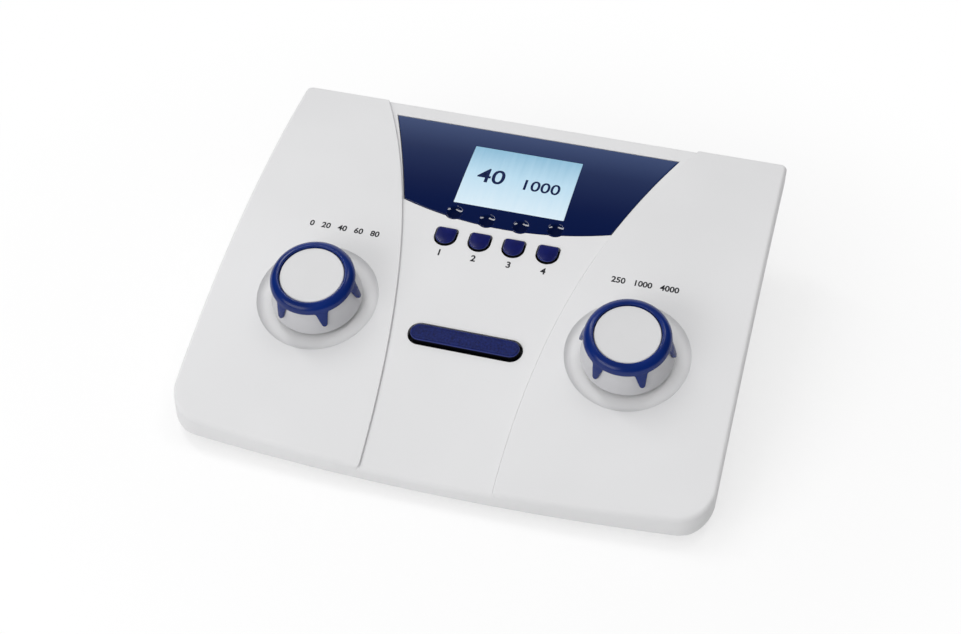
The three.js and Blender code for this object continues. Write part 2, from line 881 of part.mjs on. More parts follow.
function toneBar() {
  const tip = stemTip(barSwitchBottom, barTravel);
  const outline = stadium(barSlotLength - 2 * barGap, barSlotWidth - 2 * barGap);
  const rim = stadium(barSlotLength + 2 * flangeOverlap, barSlotWidth + 2 * flangeOverlap);
  const cap = solid(roundedPrism(outline, barFlangeBottom, middleDrop + barProud, barEdge));
  const flange = solid(prism(rim, barFlangeBottom, barFlangeTop));
  const stems = [-barStemX, barStemX].map((x) => {
    return solid(cylinder(stemRadius, tip, barFlangeTop, smallSteps)).translate(x, 0, 0);
  });
  return stems.reduce((sum, stem) => sum.add(stem), cap.add(flange));
}

function keyBoard() {
  const width = (keyCount - 1) * keyPitch + switchWidth + 2 * keyBoardMargin;
  const length = switchWidth + 2 * keyBoardMargin;
  return block(width, length, keyBoardTop - boardThickness, keyBoardTop);
}

function controlBoard() {
  const bottom = controlBoardTop - boardThickness;
  return block(controlBoardWidth, controlBoardLength, bottom, controlBoardTop);
}

// Dials

// Outer radius of the skirt at a height
function skirtRadius(height) {
  const share = (height - skirtBottomHeight) / (shoulderHeight - skirtBottomHeight);
  return skirtBottomRadius + (skirtTopRadius - skirtBottomRadius) * share;
}

const capSeat = capTopHeight - capThickness - seatGap;

function knobSkirt() {
  const bossRadiusTop = capRadius - skirtWall / 2;
  const hollowTop = shoulderHeight - skirtWall;
  const boreRadius = shaftRadius + seatGap;
  const hubBottom = bushingHeight + seatGap;
  return turned([
    [0, shaftTopHeight + seatGap],
    [boreRadius, shaftTopHeight + seatGap],
    [boreRadius, hubBottom],
    [hubRadius, hubBottom],
    [hubRadius, hollowTop],
    [skirtRadius(hollowTop) - skirtWall, hollowTop],
    [skirtBottomRadius - skirtWall, skirtBottomHeight],
    [skirtBottomRadius, skirtBottomHeight],
    [skirtTopRadius, shoulderHeight],
    [bossRadiusTop, shoulderHeight],
    [bossRadiusTop, capSeat],
    [0, capSeat],
  ], dialSteps);
}

function knobCap() {
  const bottom = capTopHeight - capThickness;
  return turned([
    [0, bottom],
    [capRadius, bottom],
    [capRadius, capTopHeight - capEdge],
    [capRadius - capEdge, capTopHeight],
    [0, capTopHeight],
  ], dialSteps);
}

// Section of the crown ring: it rises beside the cap and rounds over to its outer edge
function crownRing() {
  const innerRadius = capRadius + seatGap;
  const bottom = shoulderHeight + seatGap;
  const profile = [[innerRadius, bottom], [crownRadius, bottom], [crownRadius, crownEdgeHeight]];
  const rise = capTopHeight + crownDome - crownEdgeHeight;
  const run = crownRadius - innerRadius - capEdge;
  for (let i = 1; i <= domeSteps; i += 1) {
    const angle = (Math.PI / 2) * (i / domeSteps);
    profile.push([crownRadius - run * (1 - Math.cos(angle)), crownEdgeHeight + rise * Math.sin(angle)]);
  }
  profile.push([innerRadius, capTopHeight], [innerRadius, bottom]);
  return solid(turned(profile, dialSteps));
}

// Outline of a claw, x across it and y along the dial axis
function clawOutline() {
  const root = shoulderHeight + seatGap;
  const tipRadius = clawTipWidth / 2;
  const tip = root - clawReach + tipRadius;
  const middle = (root + tip) / 2;
  const shape = new THREE.Shape();
  shape.moveTo(clawRootWidth / 2, crownEdgeHeight);
  shape.lineTo(clawRootWidth / 2, root);
  shape.quadraticCurveTo(tipRadius + seatGap, middle + tipRadius / 2, tipRadius, tip);
  shape.absarc(0, tip, tipRadius, 0, -Math.PI, true);
  shape.quadraticCurveTo(-tipRadius - seatGap, middle + tipRadius / 2, -clawRootWidth / 2, root);
  shape.lineTo(-clawRootWidth / 2, crownEdgeHeight);
  return shape;
}

// Six claws drape from the ring over the skirt: a conical shell cut by radial outlines
function crownClaws() {
  const low = shoulderHeight - clawReach - overrun;
  const high = crownEdgeHeight;
  const coneInner = (height) => skirtRadius(height) + seatGap;
  const coneOuter = (height) => coneInner(height) + clawThickness;
  const shell = solid(turned([
    [coneInner(low), low],
    [coneOuter(low), low],
    [Math.max(coneOuter(high), crownRadius), high],
    [coneInner(high), high],
    [coneInner(low), low],
  ], dialSteps));
  const outline = clawOutline();
  const wedges = [];
  for (let i = 0; i < clawCount; i += 1) {
    const wedge = prism(outline, hubRadius, wellRadius, clawSteps);
    wedge.rotateX(Math.PI / 2).rotateZ(Math.PI + (2 * Math.PI * i) / clawCount - Math.PI / 2);
    wedges.push(solid(wedge));
  }
  return shell.intersect(wedges.reduce((sum, wedge) => sum.add(wedge)));
}

function knobCrown() {
  return crownRing().add(crownClaws());
}

function encoderShaft() {
  return cylinder(shaftRadius, encoderTop - shaftDepth, shaftTopHeight);
}

function encoderBody() {
  const body = solid(block(encoderWidth, encoderWidth, encoderBottom, encoderTop));
  const bushing = solid(cylinder(bushingRadius, encoderTop - seatGap, bushingHeight));
  const boreBottom = encoderTop - shaftDepth - seatGap;
  const bore = solid(cylinder(shaftRadius + seatGap, boreBottom, shaftTopHeight));
  return body.add(bushing).subtract(bore);
}

function hexNut(flats, boreRadius, low, high) {
  const bore = solid(cylinder(boreRadius, low - overrun, high + overrun));
  return solid(prism(hexagon(flats), low, high)).subtract(bore);
}

function encoderNut() {
  const low = wellFloor + seatGap;
  return hexNut(nutFlats, bushingRadius + seatGap, low, low + nutThickness);
}

// Rear panel and sockets. Their frame has its origin on the panel's face, x to the right seen
// from the front, z out of the back of the case and y down.
const rearFrame = new THREE.Matrix4()
  .makeRotationX(-Math.PI / 2)
  .setPosition(0, panelFaceY, jackCentreZ);

function jackPlaces() {
  return Array.from({ length: jackCount }, (_, i) => jackFirstX + i * jackPitch);
}

// Place y in that frame of a piece that stands on the main board and has a height
const standing = (height) => jackHeight / 2 - height / 2;

function rearPanel() {
  const plate = solid(block(panelWidth - 2 * seatGap, panelHeight - 2 * seatGap, panelBack, 0));
  const flange = solid(block(
    panelWidth + 2 * panelFlange,
    panelHeight + 2 * panelFlange,
    panelBack,
    panelBack + panelThickness,
  ));
  const cuts = jackPlaces().map((x) => {
    return solid(cylinder(jackThreadRadius + seatGap, -tall, overrun)).translate(x, 0, 0);
  });
  cuts.push(socketHole(usbX, usbWidth, usbHeight));
  cuts.push(socketHole(inletX, inletWidth, inletHeight));
  const [width, length] = rockerBodySize();
  const hole = block(width + 2 * seatGap, length + 2 * seatGap, -tall, overrun);
  cuts.push(solid(hole).translate(rockerX, 0, 0));
  return plate.add(flange).subtract(cuts.reduce((sum, cut) => sum.add(cut)));
}

function socketHole(x, width, height) {
  const hole = solid(block(width + 2 * seatGap, height + 2 * seatGap, -tall, overrun));
  return hole.translate(x, standing(height), 0);
}

const panelBack = panelSetback - shellWall - seatGap - panelThickness;

function phoneJack() {
  const top = panelBack - seatGap;
  const body = solid(block(jackWidth, jackHeight, top - jackDepth, top));
  const thread = solid(cylinder(jackThreadRadius, top - seatGap, jackThreadReach));
  const bore = solid(cylinder(jackBoreRadius, top - jackBoreDepth, jackThreadReach + overrun));
  return body.add(thread).subtract(bore);
}

function jackNut() {
  return hexNut(jackNutFlats, jackThreadRadius + seatGap, seatGap, seatGap + jackNutThickness);
}

function usbSocket() {
  const shell = solid(block(usbWidth, usbHeight, -usbDepth, 0));
  const mouth = solid(block(usbMouthWidth, usbMouthHeight, -usbMouthDepth, overrun));
  const tongue = solid(block(usbTongueWidth, usbTongueHeight, -usbDepth, -seatGap));
  return shell.subtract(mouth).add(tongue);
}

function powerInlet() {
  const body = solid(block(inletWidth, inletHeight, -inletDepth, 0));
  const bore = solid(cylinder(inletBoreRadius, -inletBoreDepth, overrun));
  const hole = solid(cylinder(inletPinRadius + seatGap, -inletDepth - overrun, 0, smallSteps));
  return body.subtract(bore).subtract(hole);
}

function inletPin() {
  return cylinder(inletPinRadius, -inletDepth, -seatGap, smallSteps);
}

function rockerBodySize() {
  const length = 2 * (rockerBarrelRadius + seatGap + rockerBodyWall);
  return [length, rockerWidth + 2 * seatGap + 2 * rockerBodyWall];
}

// Cylinder whose axis lies along y, used by the rocker and its seat
function barrel(radius, width) {
  const made = solid(new THREE.CylinderGeometry(radius, radius, width, roundSteps));
  return made.translate(0, 0, -rockerPivotDepth);
}

function rockerFrame() {
  const [width, length] = rockerBodySize();
  const depth = rockerPivotDepth + rockerBarrelRadius + seatGap + rockerBodyWall;
  const body = solid(block(width, length, -depth, seatGap + rockerFrameThickness));
  const lipWidth = width + 2 * rockerFrameLip;
  const lipLength = length + 2 * rockerFrameLip;
  const lipShape = roundedRectangle(lipWidth, lipLength, rockerFrameLip);
  const lip = solid(prism(lipShape, seatGap, seatGap + rockerFrameThickness));
  const seat = barrel(rockerBarrelRadius + seatGap, rockerWidth + 2 * seatGap);
  const mouth = solid(block(
    2 * (rockerBarrelRadius + seatGap),
    rockerWidth + 2 * seatGap,
    -rockerPivotDepth,
    rockerFrameThickness + overrun,
  ));
  return body.add(lip).subtract(seat).subtract(mouth);
}

// Barrel whose outer face is a shallow V, so that one half lies level in each position
function powerRocker() {
  const rise = rockerFrameThickness;
  const shape = new THREE.Shape();
  const ends = rockerBarrelRadius + overrun;
  shape.moveTo(0, rise);
  shape.lineTo(ends, rise + ends * Math.tan(rockerTilt));
  shape.lineTo(ends, -rockerBarrelRadius - overrun);
  shape.lineTo(-ends, -rockerBarrelRadius - overrun);
  shape.lineTo(-ends, rise + ends * Math.tan(rockerTilt));
  const wedge = prism(shape, -rockerWidth, rockerWidth).rotateX(Math.PI / 2);
  const rounded = barrel(rockerBarrelRadius, rockerWidth).intersect(solid(wedge));
  const turn = new THREE.Matrix4()
    .makeTranslation(0, 0, -rockerPivotDepth)
    .multiply(new THREE.Matrix4().makeRotationY(-rockerTilt))
    .multiply(new THREE.Matrix4().makeTranslation(0, 0, rockerPivotDepth));
  return geometryOf(rounded).applyMatrix4(turn);
}

// Main board

const mainBoardHalf = halfWidth - mainBoardSideInset;
const mainBoardBackY = panelFaceY + panelBack - boardPostInset / 2;

// The rear posts stand just in front of the jacks
function boardPostPlaces() {
  const x = mainBoardHalf - boardPostInset;
  const back = panelFaceY + panelBack - seatGap - jackDepth - boardPostInset;
  const front = mainBoardBackY - mainBoardLength + boardPostInset;
  return [[-x, front], [x, front], [-x, back], [x, back]];
}

function mainBoard() {
  const top = mainBoardHeight + boardThickness;
  const board = solid(block(mainBoardHalf * 2, mainBoardLength, mainBoardHeight, top));
  const placed = board.translate(0, mainBoardBackY - mainBoardLength / 2, 0);
  const holes = boardPostPlaces().map(([x, y]) => {
    return solid(cylinder(boardScrewRadius + seatGap, 0, tall, smallSteps)).translate(x, y, 0);
  });
  return placed.subtract(holes.reduce((sum, hole) => sum.add(hole)));
}

function boardScrew() {
  const seat = mainBoardHeight + boardThickness + seatGap;
  return turned([
    [0, floorTop + seatGap],
    [boardScrewRadius, floorTop + seatGap],
    [boardScrewRadius, seat],
    [boardScrewHeadRadius, seat],
    [boardScrewHeadRadius, seat + boardScrewHead / 2],
    [boardScrewRadius, seat + boardScrewHead],
    [0, seat + boardScrewHead],
  ], smallSteps);
}

// Materials

function finish(color, roughness, metalness = 0) {
  return () => new THREE.MeshStandardMaterial({ color, roughness, metalness });
}

const casePlastic = finish(0xe3e3e2, 0.55);
const dialPlastic = finish(0xd9d9db, 0.45);
const royalBlue = finish(0x14327f, 0.25);
const navyPlastic = finish(0x23235c, 0.5);
const navyLens = finish(0x141c50, 0.12);
const paleGlass = finish(0xc4dfea, 0.2);
const darkPlastic = finish(0x1c1d20, 0.5);
const blackRubber = finish(0x202124, 0.9);
const steel = finish(0xb4b6b9, 0.3, 1);
const boardGreen = finish(0x1f5a38, 0.6);

// Assembly

const audiometer = new THREE.Group();
const dialDeck = groupOn(frames.knob);
const keyDeck = groupOn(frames.key);
const displayDeck = groupOn(frames.display);
const rear = groupOn(rearFrame);

function groupOn(frame) {
  const group = new THREE.Group();
  frame.decompose(group.position, group.quaternion, group.scale);
  audiometer.add(group);
  return group;
}

function addPiece(parent, name, shape, material, x = 0, y = 0, z = 0) {
  const geometry = shape.isBufferGeometry ? shape : geometryOf(shape);
  const mesh = new THREE.Mesh(geometry, material());
  mesh.name = name;
  mesh.position.set(x, y, z);
  parent.add(mesh);
}

function addHousing() {
  addPiece(audiometer, "top_cover", topCover(), casePlastic);
  addPiece(audiometer, "bottom_shell", bottomShell(), casePlastic);
  addPiece(rear, "rear_panel", rearPanel(), darkPlastic);
  const corners = ["front_left", "front_right", "rear_left", "rear_right"];
  corners.forEach((corner, i) => {
    const [footPlaceX, footPlaceY] = footPlaces()[i];
    const [x, y] = screwPlaces()[i];
    addPiece(audiometer, `foot_${corner}`, foot(), blackRubber, footPlaceX, footPlaceY);
    addPiece(audiometer, `case_screw_${corner}`, caseScrew(y), steel, x, y);
  });
}

function addDisplay() {
  addPiece(audiometer, "display_window", displayWindow(), navyLens);
  addPiece(audiometer, "lcd_glass", lcdGlass(), paleGlass);
  addPiece(displayDeck, "lcd_frame", lcdFrame(), steel);
  addPiece(displayDeck, "display_board", displayBoard(), boardGreen);
}

function addKeys() {
  keyPlaces().forEach((x, i) => {
    const housing = switchHousing(keySwitchBottom, keySwitchTop);
    addPiece(keyDeck, `key_${i + 1}`, softKey(), navyPlastic, x);
    addPiece(keyDeck, `key_switch_${i + 1}`, housing, darkPlastic, x);
  });
  addPiece(keyDeck, "key_board", keyBoard(), boardGreen);
}

function addToneBar() {
  addPiece(dialDeck, "tone_bar", toneBar(), navyPlastic, 0, barFrameY);
  const sides = { left: -barStemX, right: barStemX };
  for (const [side, x] of Object.entries(sides)) {
    const housing = switchHousing(barSwitchBottom, barSwitchTop);
    addPiece(dialDeck, `tone_switch_${side}`, housing, darkPlastic, x, barFrameY);
  }
}

function addDial(side, x) {
  addPiece(dialDeck, `${side}_knob_skirt`, knobSkirt(), dialPlastic, x);
  addPiece(dialDeck, `${side}_knob_crown`, knobCrown(), royalBlue, x);
  addPiece(dialDeck, `${side}_knob_cap`, knobCap(), dialPlastic, x);
  addPiece(dialDeck, `${side}_encoder_shaft`, encoderShaft(), steel, x);
  addPiece(dialDeck, `${side}_encoder_body`, encoderBody(), darkPlastic, x);
  addPiece(dialDeck, `${side}_encoder_nut`, encoderNut(), steel, x);
}

function addBoards() {
  addPiece(dialDeck, "control_board", controlBoard(), boardGreen);
  addPiece(audiometer, "main_board", mainBoard(), boardGreen);
  boardPostPlaces().forEach(([x, y], i) => {
    addPiece(audiometer, `board_screw_${i + 1}`, boardScrew(), steel, x, y);
  });
}

function addRearSockets() {
  const names = ["phone_left", "phone_right", "response"];
  names.forEach((name, i) => {
    addPiece(rear, `${name}_jack`, phoneJack(), darkPlastic, jackPlaces()[i]);
    addPiece(rear, `${name}_jack_nut`, jackNut(), steel, jackPlaces()[i]);
  });
  addPiece(rear, "usb_socket", usbSocket(), steel, usbX, standing(usbHeight));
  addPiece(rear, "power_inlet", powerInlet(), darkPlastic, inletX, standing(inletHeight));
  addPiece(rear, "inlet_pin", inletPin(), steel, inletX, standing(inletHeight));
  addPiece(rear, "rocker_frame", rockerFrame(), darkPlastic, rockerX);
  addPiece(rear, "power_rocker", powerRocker(), darkPlastic, rockerX);
}

addHousing();
addDisplay();
addKeys();
addToneBar();
addDial("left", -knobX);
addDial("right", knobX);
addBoards();
addRearSockets();

export default audiometer;
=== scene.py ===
import math

import bmesh
import bpy
from mathutils import Matrix, Vector, geometry


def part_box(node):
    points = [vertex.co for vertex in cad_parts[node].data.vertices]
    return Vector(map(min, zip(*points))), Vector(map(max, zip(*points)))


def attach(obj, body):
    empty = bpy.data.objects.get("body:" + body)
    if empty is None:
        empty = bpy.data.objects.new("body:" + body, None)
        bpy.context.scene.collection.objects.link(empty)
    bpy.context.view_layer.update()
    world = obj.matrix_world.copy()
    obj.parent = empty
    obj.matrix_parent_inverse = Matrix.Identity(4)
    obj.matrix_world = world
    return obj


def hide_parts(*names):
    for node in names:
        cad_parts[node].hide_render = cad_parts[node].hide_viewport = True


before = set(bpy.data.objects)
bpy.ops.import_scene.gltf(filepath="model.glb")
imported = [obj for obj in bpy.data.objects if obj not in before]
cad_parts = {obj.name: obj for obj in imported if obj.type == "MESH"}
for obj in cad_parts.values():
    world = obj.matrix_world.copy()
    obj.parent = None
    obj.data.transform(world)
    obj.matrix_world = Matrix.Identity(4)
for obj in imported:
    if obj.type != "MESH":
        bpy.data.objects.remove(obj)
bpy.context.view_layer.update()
mm = 0.001
weldDistance = 0.002 * mm
print("frame loaded:", len(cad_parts), "nodes")

# Sizes are in millimetres, z up, the front of the case towards -y. Cutters run past what they
# cut by overrun, and forms that are joined reach into each other by overlap.
overrun, overlap = 4, 0.1
case = {
    "width": 225, "depth": 188, "frontHeight": 9.3, "backHeight": 52.9,
    "frontBow": 6.5, "frontCorner": 15, "backCorner": 3, "topEdge": 1.6, "lidInset": 0.6,
    "rim": 9.5, "rimBase": 4.1, "rimEdge": 0.5, "wall": 2.5,
    "wing": 1, "wingCorner": 2, "wingEdge": 0.45, "grooveWidth": 0.35, "grooveDepth": 0.25,
    "grooveLift": 0.05, "grooveStart": 3, "seamFront": 27.4, "seamBack": 73,
}
halfWidth = case["width"] / 2
frontY, backY = -case["depth"] / 2, case["depth"] / 2
rise = case["backHeight"] - case["frontHeight"]
profileRadius = (case["depth"] ** 2 + rise ** 2) / (2 * rise)
bowRadius = (halfWidth ** 2 + case["frontBow"] ** 2) / (2 * case["frontBow"])
seamSpread = case["seamBack"] - case["seamFront"]
seamRadius = (case["depth"] ** 2 + seamSpread ** 2) / (2 * seamSpread)
seamCentre = case["seamFront"] + seamRadius
seamEnd = backY + 2


def arcHeight(y, lift=0):
    radius = profileRadius + lift
    return case["backHeight"] - profileRadius + math.sqrt(radius ** 2 - (backY - y) ** 2)


def rimUnderside(y):
    return max(case["rimBase"], arcHeight(y, case["wing"]) - case["rim"])


def frameOnArc(y, lift=0, x=0):
    slope = math.asin((backY - y) / (profileRadius + lift))
    return Matrix.Translation((x, y, arcHeight(y, lift))) @ Matrix.Rotation(slope, 4, "X")


def onArc(x, y, lift=0):
    return (x, y, arcHeight(y, lift))


# Shapes

def added(name, data):
    piece = bpy.data.objects.new(name, data)
    bpy.context.scene.collection.objects.link(piece)
    return piece


# Closed mesh from points and faces, welded and turned the right side out
def makePiece(name, points, faces, place=None):
    if place is not None:
        points = [place @ Vector(point) for point in points]
    mesh = bpy.data.meshes.new(name)
    mesh.from_pydata([Vector(point) * mm for point in points], [], faces)
    form = bmesh.new()
    form.from_mesh(mesh)
    bmesh.ops.remove_doubles(form, verts=form.verts, dist=weldDistance)
    bmesh.ops.recalc_face_normals(form, faces=form.faces)
    if form.calc_volume(signed=True) < 0:
        bmesh.ops.reverse_faces(form, faces=form.faces)
    form.to_mesh(mesh)
    form.free()
    return added(name, mesh)


def ringFaces(rows, count):
    faces = []
    for row in range(rows - 1):
        for i in range(count):
            a, b = row * count + i, row * count + (i + 1) % count
            faces.append((a, b, b + count, a + count))
    return faces


# Closed solid from loops of equal count, with a flat cap at each end
def stacked(name, loops, place=None):
    count = len(loops[0])
    points = [point for loop in loops for point in loop]
    faces = ringFaces(len(loops), count)
    faces.append(tuple(range(count)))
    faces.append(tuple(range((len(loops) - 1) * count, len(loops) * count)))
    return makePiece(name, points, faces, place)


# Profile of (radius, height) turned round z; its ends lie on the axis or it closes on itself
def turned(name, profile, place=None, steps=96):
    count = len(profile)
    points, faces = [], []
    for i in range(steps):
        angle = 2 * math.pi * i / steps
        points += [(r * math.cos(angle), r * math.sin(angle), z) for r, z in profile]
    for i in range(steps):
        a, b = i * count, (i + 1) % steps * count
        for j in range(count - 1):
            face = [a + j, b + j, b + j + 1, a + j + 1]
            if profile[j][0] == 0:
                face = [a + j, b + j + 1, a + j + 1]
            elif profile[j + 1][0] == 0:
                face = [a + j, b + j, a + j + 1]
            faces.append(tuple(face))
    return makePiece(name, points, faces, place)


def cylinder(name, radius, low, high, place, steps):
    return turned(name, [(0, low), (radius, low), (radius, high), (0, high)], place, steps)


# Points of an arc from one angle to another, in degrees
def arcPoints(x, y, radius, start, end, steps):
    angles = [math.radians(start + (end - start) * i / steps) for i in range(steps + 1)]
    return [(x + radius * math.cos(a), y + radius * math.sin(a)) for a in angles]


# Rounded edge over a quarter turn, as its radius times (1 - cos, 1 - sin)
def quarter(radius, steps, first=0):
    angles = [math.radians(90 * i / steps) for i in range(first, steps + 1)]
    return [(radius * (1 - math.cos(a)), radius * (1 - math.sin(a))) for a in angles]


# Closed solid from loops given by their right half, front to back, and mirrored. Its caps are
# strips between points that share one y, so a cap can follow the arc.
def mirroredLoft(name, loops):
    half = len(loops[0])
    count = 2 * half - 1
    points = []
    for loop in loops:
        points += loop
        points += [(-x, y, z) for x, y, z in reversed(loop[1:])]
    faces = ringFaces(len(loops), count)
    for base in (0, (len(loops) - 1) * count):
        faces.append((base, base + 1, base + count - 1))
        for i in range(1, half - 1):
            faces.append((base + i, base + i + 1, base + count - i - 1, base + count - i))
    return makePiece(name, points, faces)


# Plate between two lifts over the arc, cut to an outline that takes an inset. Its top edge is
# rounded, shape lowers the top surface and extra gives points for that shape.
def arcPlate(name, outline, bottom, top, edge, hole=None, shape=None, extra=(), spacing=4):
    sink = shape or (lambda x, y: 0)
    guard = edge + 0.3
    levels = [(0, bottom), (0, top - edge)]
    levels += [(inset, top - drop) for inset, drop in quarter(edge, 6, 1)] + [(guard, top)]
    rings = [[onArc(x, y, lift) for x, y in outline(inset)] for inset, lift in levels]
    rings.append([onArc(x, y, top - sink(x, y)) for x, y in outline(guard)])
    points = [point for ring in rings for point in ring]
    faces = ringFaces(len(rings), len(rings[0]))
    for inset, lift, depth, inner in ((guard, top, sink, extra), (0, bottom, lambda x, y: 0, ())):
        flat, cells = filledOutline(outline(inset), hole, inner, spacing)
        start = len(points)
        points += [onArc(x, y, lift - depth(x, y)) for x, y in flat]
        faces += [tuple(start + i for i in cell) for cell in cells]
    if hole:
        start = len(points)
        points += [onArc(x, y, lift) for lift in (bottom, top) for x, y in hole]
        faces += [tuple(start + i for i in cell) for cell in ringFaces(2, len(hole))]
    return makePiece(name, points, faces)


# Triangles inside an outline, with inner points so that they can follow a curved surface
def filledOutline(outline, hole, extra, spacing):
    flat = [Vector(point) for point in outline]
    edges = [(i, (i + 1) % len(flat)) for i in range(len(flat))]
    if hole:
        first = len(flat)
        flat += [Vector(point) for point in hole]
        edges += [(first + i, first + (i + 1) % len(hole)) for i in range(len(hole))]
    flat += [Vector(point) for point in extra]
    xs, ys = [p.x for p in flat], [p.y for p in flat]
    across = max(2, round((max(xs) - min(xs)) / spacing))
    along = max(2, round((max(ys) - min(ys)) / spacing))
    for i in range(1, across):
        for j in range(1, along):
            x = min(xs) + (max(xs) - min(xs)) * i / across
            y = min(ys) + (max(ys) - min(ys)) * j / along
            point = Vector((x, y))
            if all((point - other).length > spacing / 3 for other in flat[:len(xs)]):
                flat.append(point)
    corners, edges, cells = geometry.delaunay_2d_cdt(flat, edges, [], 1, 1e-5)[:3]
    if hole:
        cells = [cell for cell in cells if not isInside(middleOf(cell, corners), hole)]
    return corners, cells


def middleOf(cell, corners):
    return sum((corners[i] for i in cell), Vector((0, 0))) / len(cell)


def isInside(point, outline):
    inside = False
    for (ax, ay), (bx, by) in zip(outline, outline[1:] + outline[:1]):
        if (ay > point.y) != (by > point.y):
            inside ^= point.x < ax + (bx - ax) * (point.y - ay) / (by - ay)
    return inside


def settle(piece, mesh):
    old = piece.data
    piece.modifiers.clear()
    piece.data = mesh
    mesh.name = piece.name
    bpy.data.meshes.remove(old)
    return piece


def evaluated(piece):
    graph = bpy.context.evaluated_depsgraph_get()
    return bpy.data.meshes.new_from_object(piece.evaluated_get(graph), depsgraph=graph)


def carve(piece, cutters, operation="DIFFERENCE"):
    for cutter in cutters:
        change = piece.modifiers.new("carve", "BOOLEAN")
        change.operation = operation
        change.solver = "MANIFOLD"
        change.object = cutter
    settle(piece, evaluated(piece))
    for cutter in cutters:
        bpy.data.objects.remove(cutter)
    return piece


def placed(piece, place):
    scaled = Matrix.Translation(place.translation * mm) @ place.to_3x3().to_4x4()
    piece.data.transform(scaled)
    return piece


# Smooth faces with crisp edges, then the piece takes its finish and its body
def dress(piece, finish, body, nodes, crisp=32):
    piece.data.materials.clear()
    piece.data.materials.append(finish)
    for polygon in piece.data.polygons:
        polygon.material_index = 0
    piece.data.shade_smooth()
    piece.data.set_sharp_from_angle(angle=math.radians(crisp))
    weighted = piece.modifiers.new("weighted", "WEIGHTED_NORMAL")
    weighted.keep_sharp = True
    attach(piece, body)
    if nodes:
        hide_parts(*nodes)
    return piece


# Finishes

def linear(red, green, blue):
    def channel(value):
        value /= 255
        return value / 12.92 if value <= 0.04045 else ((value + 0.055) / 1.055) ** 2.4
    return (channel(red), channel(green), channel(blue), 1)


def socketKey(name):
    return int(name) if name.isdigit() else name


def addNode(tree, kind, **values):
    made = tree.nodes.new(kind)
    for name, value in values.items():
        if hasattr(made, name):
            setattr(made, name, value)
        else:
            made.inputs[socketKey(name)].default_value = value
    return made


# Joins nodes by lines such as "grain.Fac > relief.Height"; a digit is a socket's place
def wire(tree, nodes, lines):
    for line in lines.strip().splitlines():
        source, target = (end.strip().split(".") for end in line.split(" > "))
        tree.links.new(nodes[source[0]].outputs[socketKey(source[1])],
                       nodes[target[0]].inputs[socketKey(target[1])])


def noise(tree, source, size, detail, roughness=0.5):
    made = addNode(tree, "ShaderNodeTexNoise", Scale=1 / (size * mm), Detail=detail,
                   Roughness=roughness)
    tree.links.new(source.outputs["Object"], made.inputs["Vector"])
    return made


def reckon(tree, operation, **values):
    return addNode(tree, "ShaderNodeMath", operation=operation, **values)


# Node that maps a stretch of its value on another, each given as (start, end)
def mapped(tree, given=(0, 1), made=(0, 1), **values):
    return addNode(tree, "ShaderNodeMapRange", **values, **{
        "From Min": given[0], "From Max": given[1], "To Min": made[0], "To Max": made[1]})


def shadesOf(tree, stops):
    shades = addNode(tree, "ShaderNodeValToRGB")
    ramp = shades.color_ramp
    ramp.elements[0].position, ramp.elements[1].position = stops[0][0], stops[-1][0]
    ramp.elements[0].color, ramp.elements[1].color = linear(*stops[0][1]), linear(*stops[-1][1])
    for position, colour in stops[1:-1]:
        ramp.elements.new(position).color = linear(*colour)
    return shades


def newMaterial(name, values):
    material = bpy.data.materials.new(name)
    material.use_nodes = True
    tree = material.node_tree
    shader = tree.nodes["Principled BSDF"]
    for socket, value in values.items():
        shader.inputs[socket].default_value = value
    return material, tree, shader


usual = {"detail": 2, "wander": 0.05, "relief": 0.2, "depth": 0.02, "specular": 0.5, "metal": 0}


# A moulded finish: two close shades in large soft patches, a fine grain in the relief and
# a roughness that wanders a little
def moulded(name, own):
    look = {**usual, **own}
    material, tree, shader = newMaterial(name, {"Specular IOR Level": look["specular"],
                                                "Metallic": look["metal"]})
    place = tree.nodes.new("ShaderNodeTexCoord")
    low, high = look["roughness"] - look["wander"], look["roughness"] + look["wander"]
    nodes = {
        "shader": shader, "patches": noise(tree, place, look["patch"], 2),
        "grain": noise(tree, place, look["grain"], look["detail"], 0.6),
        "shades": shadesOf(tree, [(0.3, look["dark"]), (0.7, look["light"])]),
        "spread": mapped(tree, made=(low, high)),
        "relief": addNode(tree, "ShaderNodeBump", Strength=look["relief"],
                          Distance=look["depth"] * mm),
    }
    wire(tree, nodes, """
        patches.Fac > shades.Fac
        shades.Color > shader.Base Color
        grain.Fac > spread.Value
        spread.Result > shader.Roughness
        grain.Fac > relief.Height
        relief.Normal > shader.Normal""")
    return material


casePlastic = moulded("casePlastic", {
    "dark": (222, 222, 223), "light": (226, 226, 227), "patch": 60, "grain": 0.45,
    "roughness": 0.5, "relief": 0.3, "depth": 0.03, "specular": 0.4,
})
dialPlastic = moulded("dialPlastic", {
    "dark": (213, 213, 214), "light": (217, 217, 218), "patch": 25, "grain": 0.3,
    "roughness": 0.42,
})
skirtPlastic = moulded("skirtPlastic", {
    "dark": (200, 200, 203), "light": (206, 206, 209), "patch": 25, "grain": 0.3,
    "roughness": 0.45,
})
royalBlue = moulded("royalBlue", {
    "dark": (2, 32, 100), "light": (4, 39, 116), "patch": 14, "grain": 0.6,
    "roughness": 0.25, "wander": 0.04, "relief": 0.05, "specular": 0.36,
})
navyGrain = moulded("navyGrain", {
    "dark": (4, 16, 70), "light": (16, 34, 108), "patch": 0.8, "grain": 0.28, "detail": 3,
    "roughness": 0.44, "wander": 0.08, "relief": 0.8, "depth": 0.12, "specular": 0.2,
})
navyKey = moulded("navyKey", {
    "dark": (6, 14, 80), "light": (10, 20, 94), "patch": 4, "grain": 0.3,
    "roughness": 0.24, "relief": 0.25, "depth": 0.03, "specular": 0.35,
})
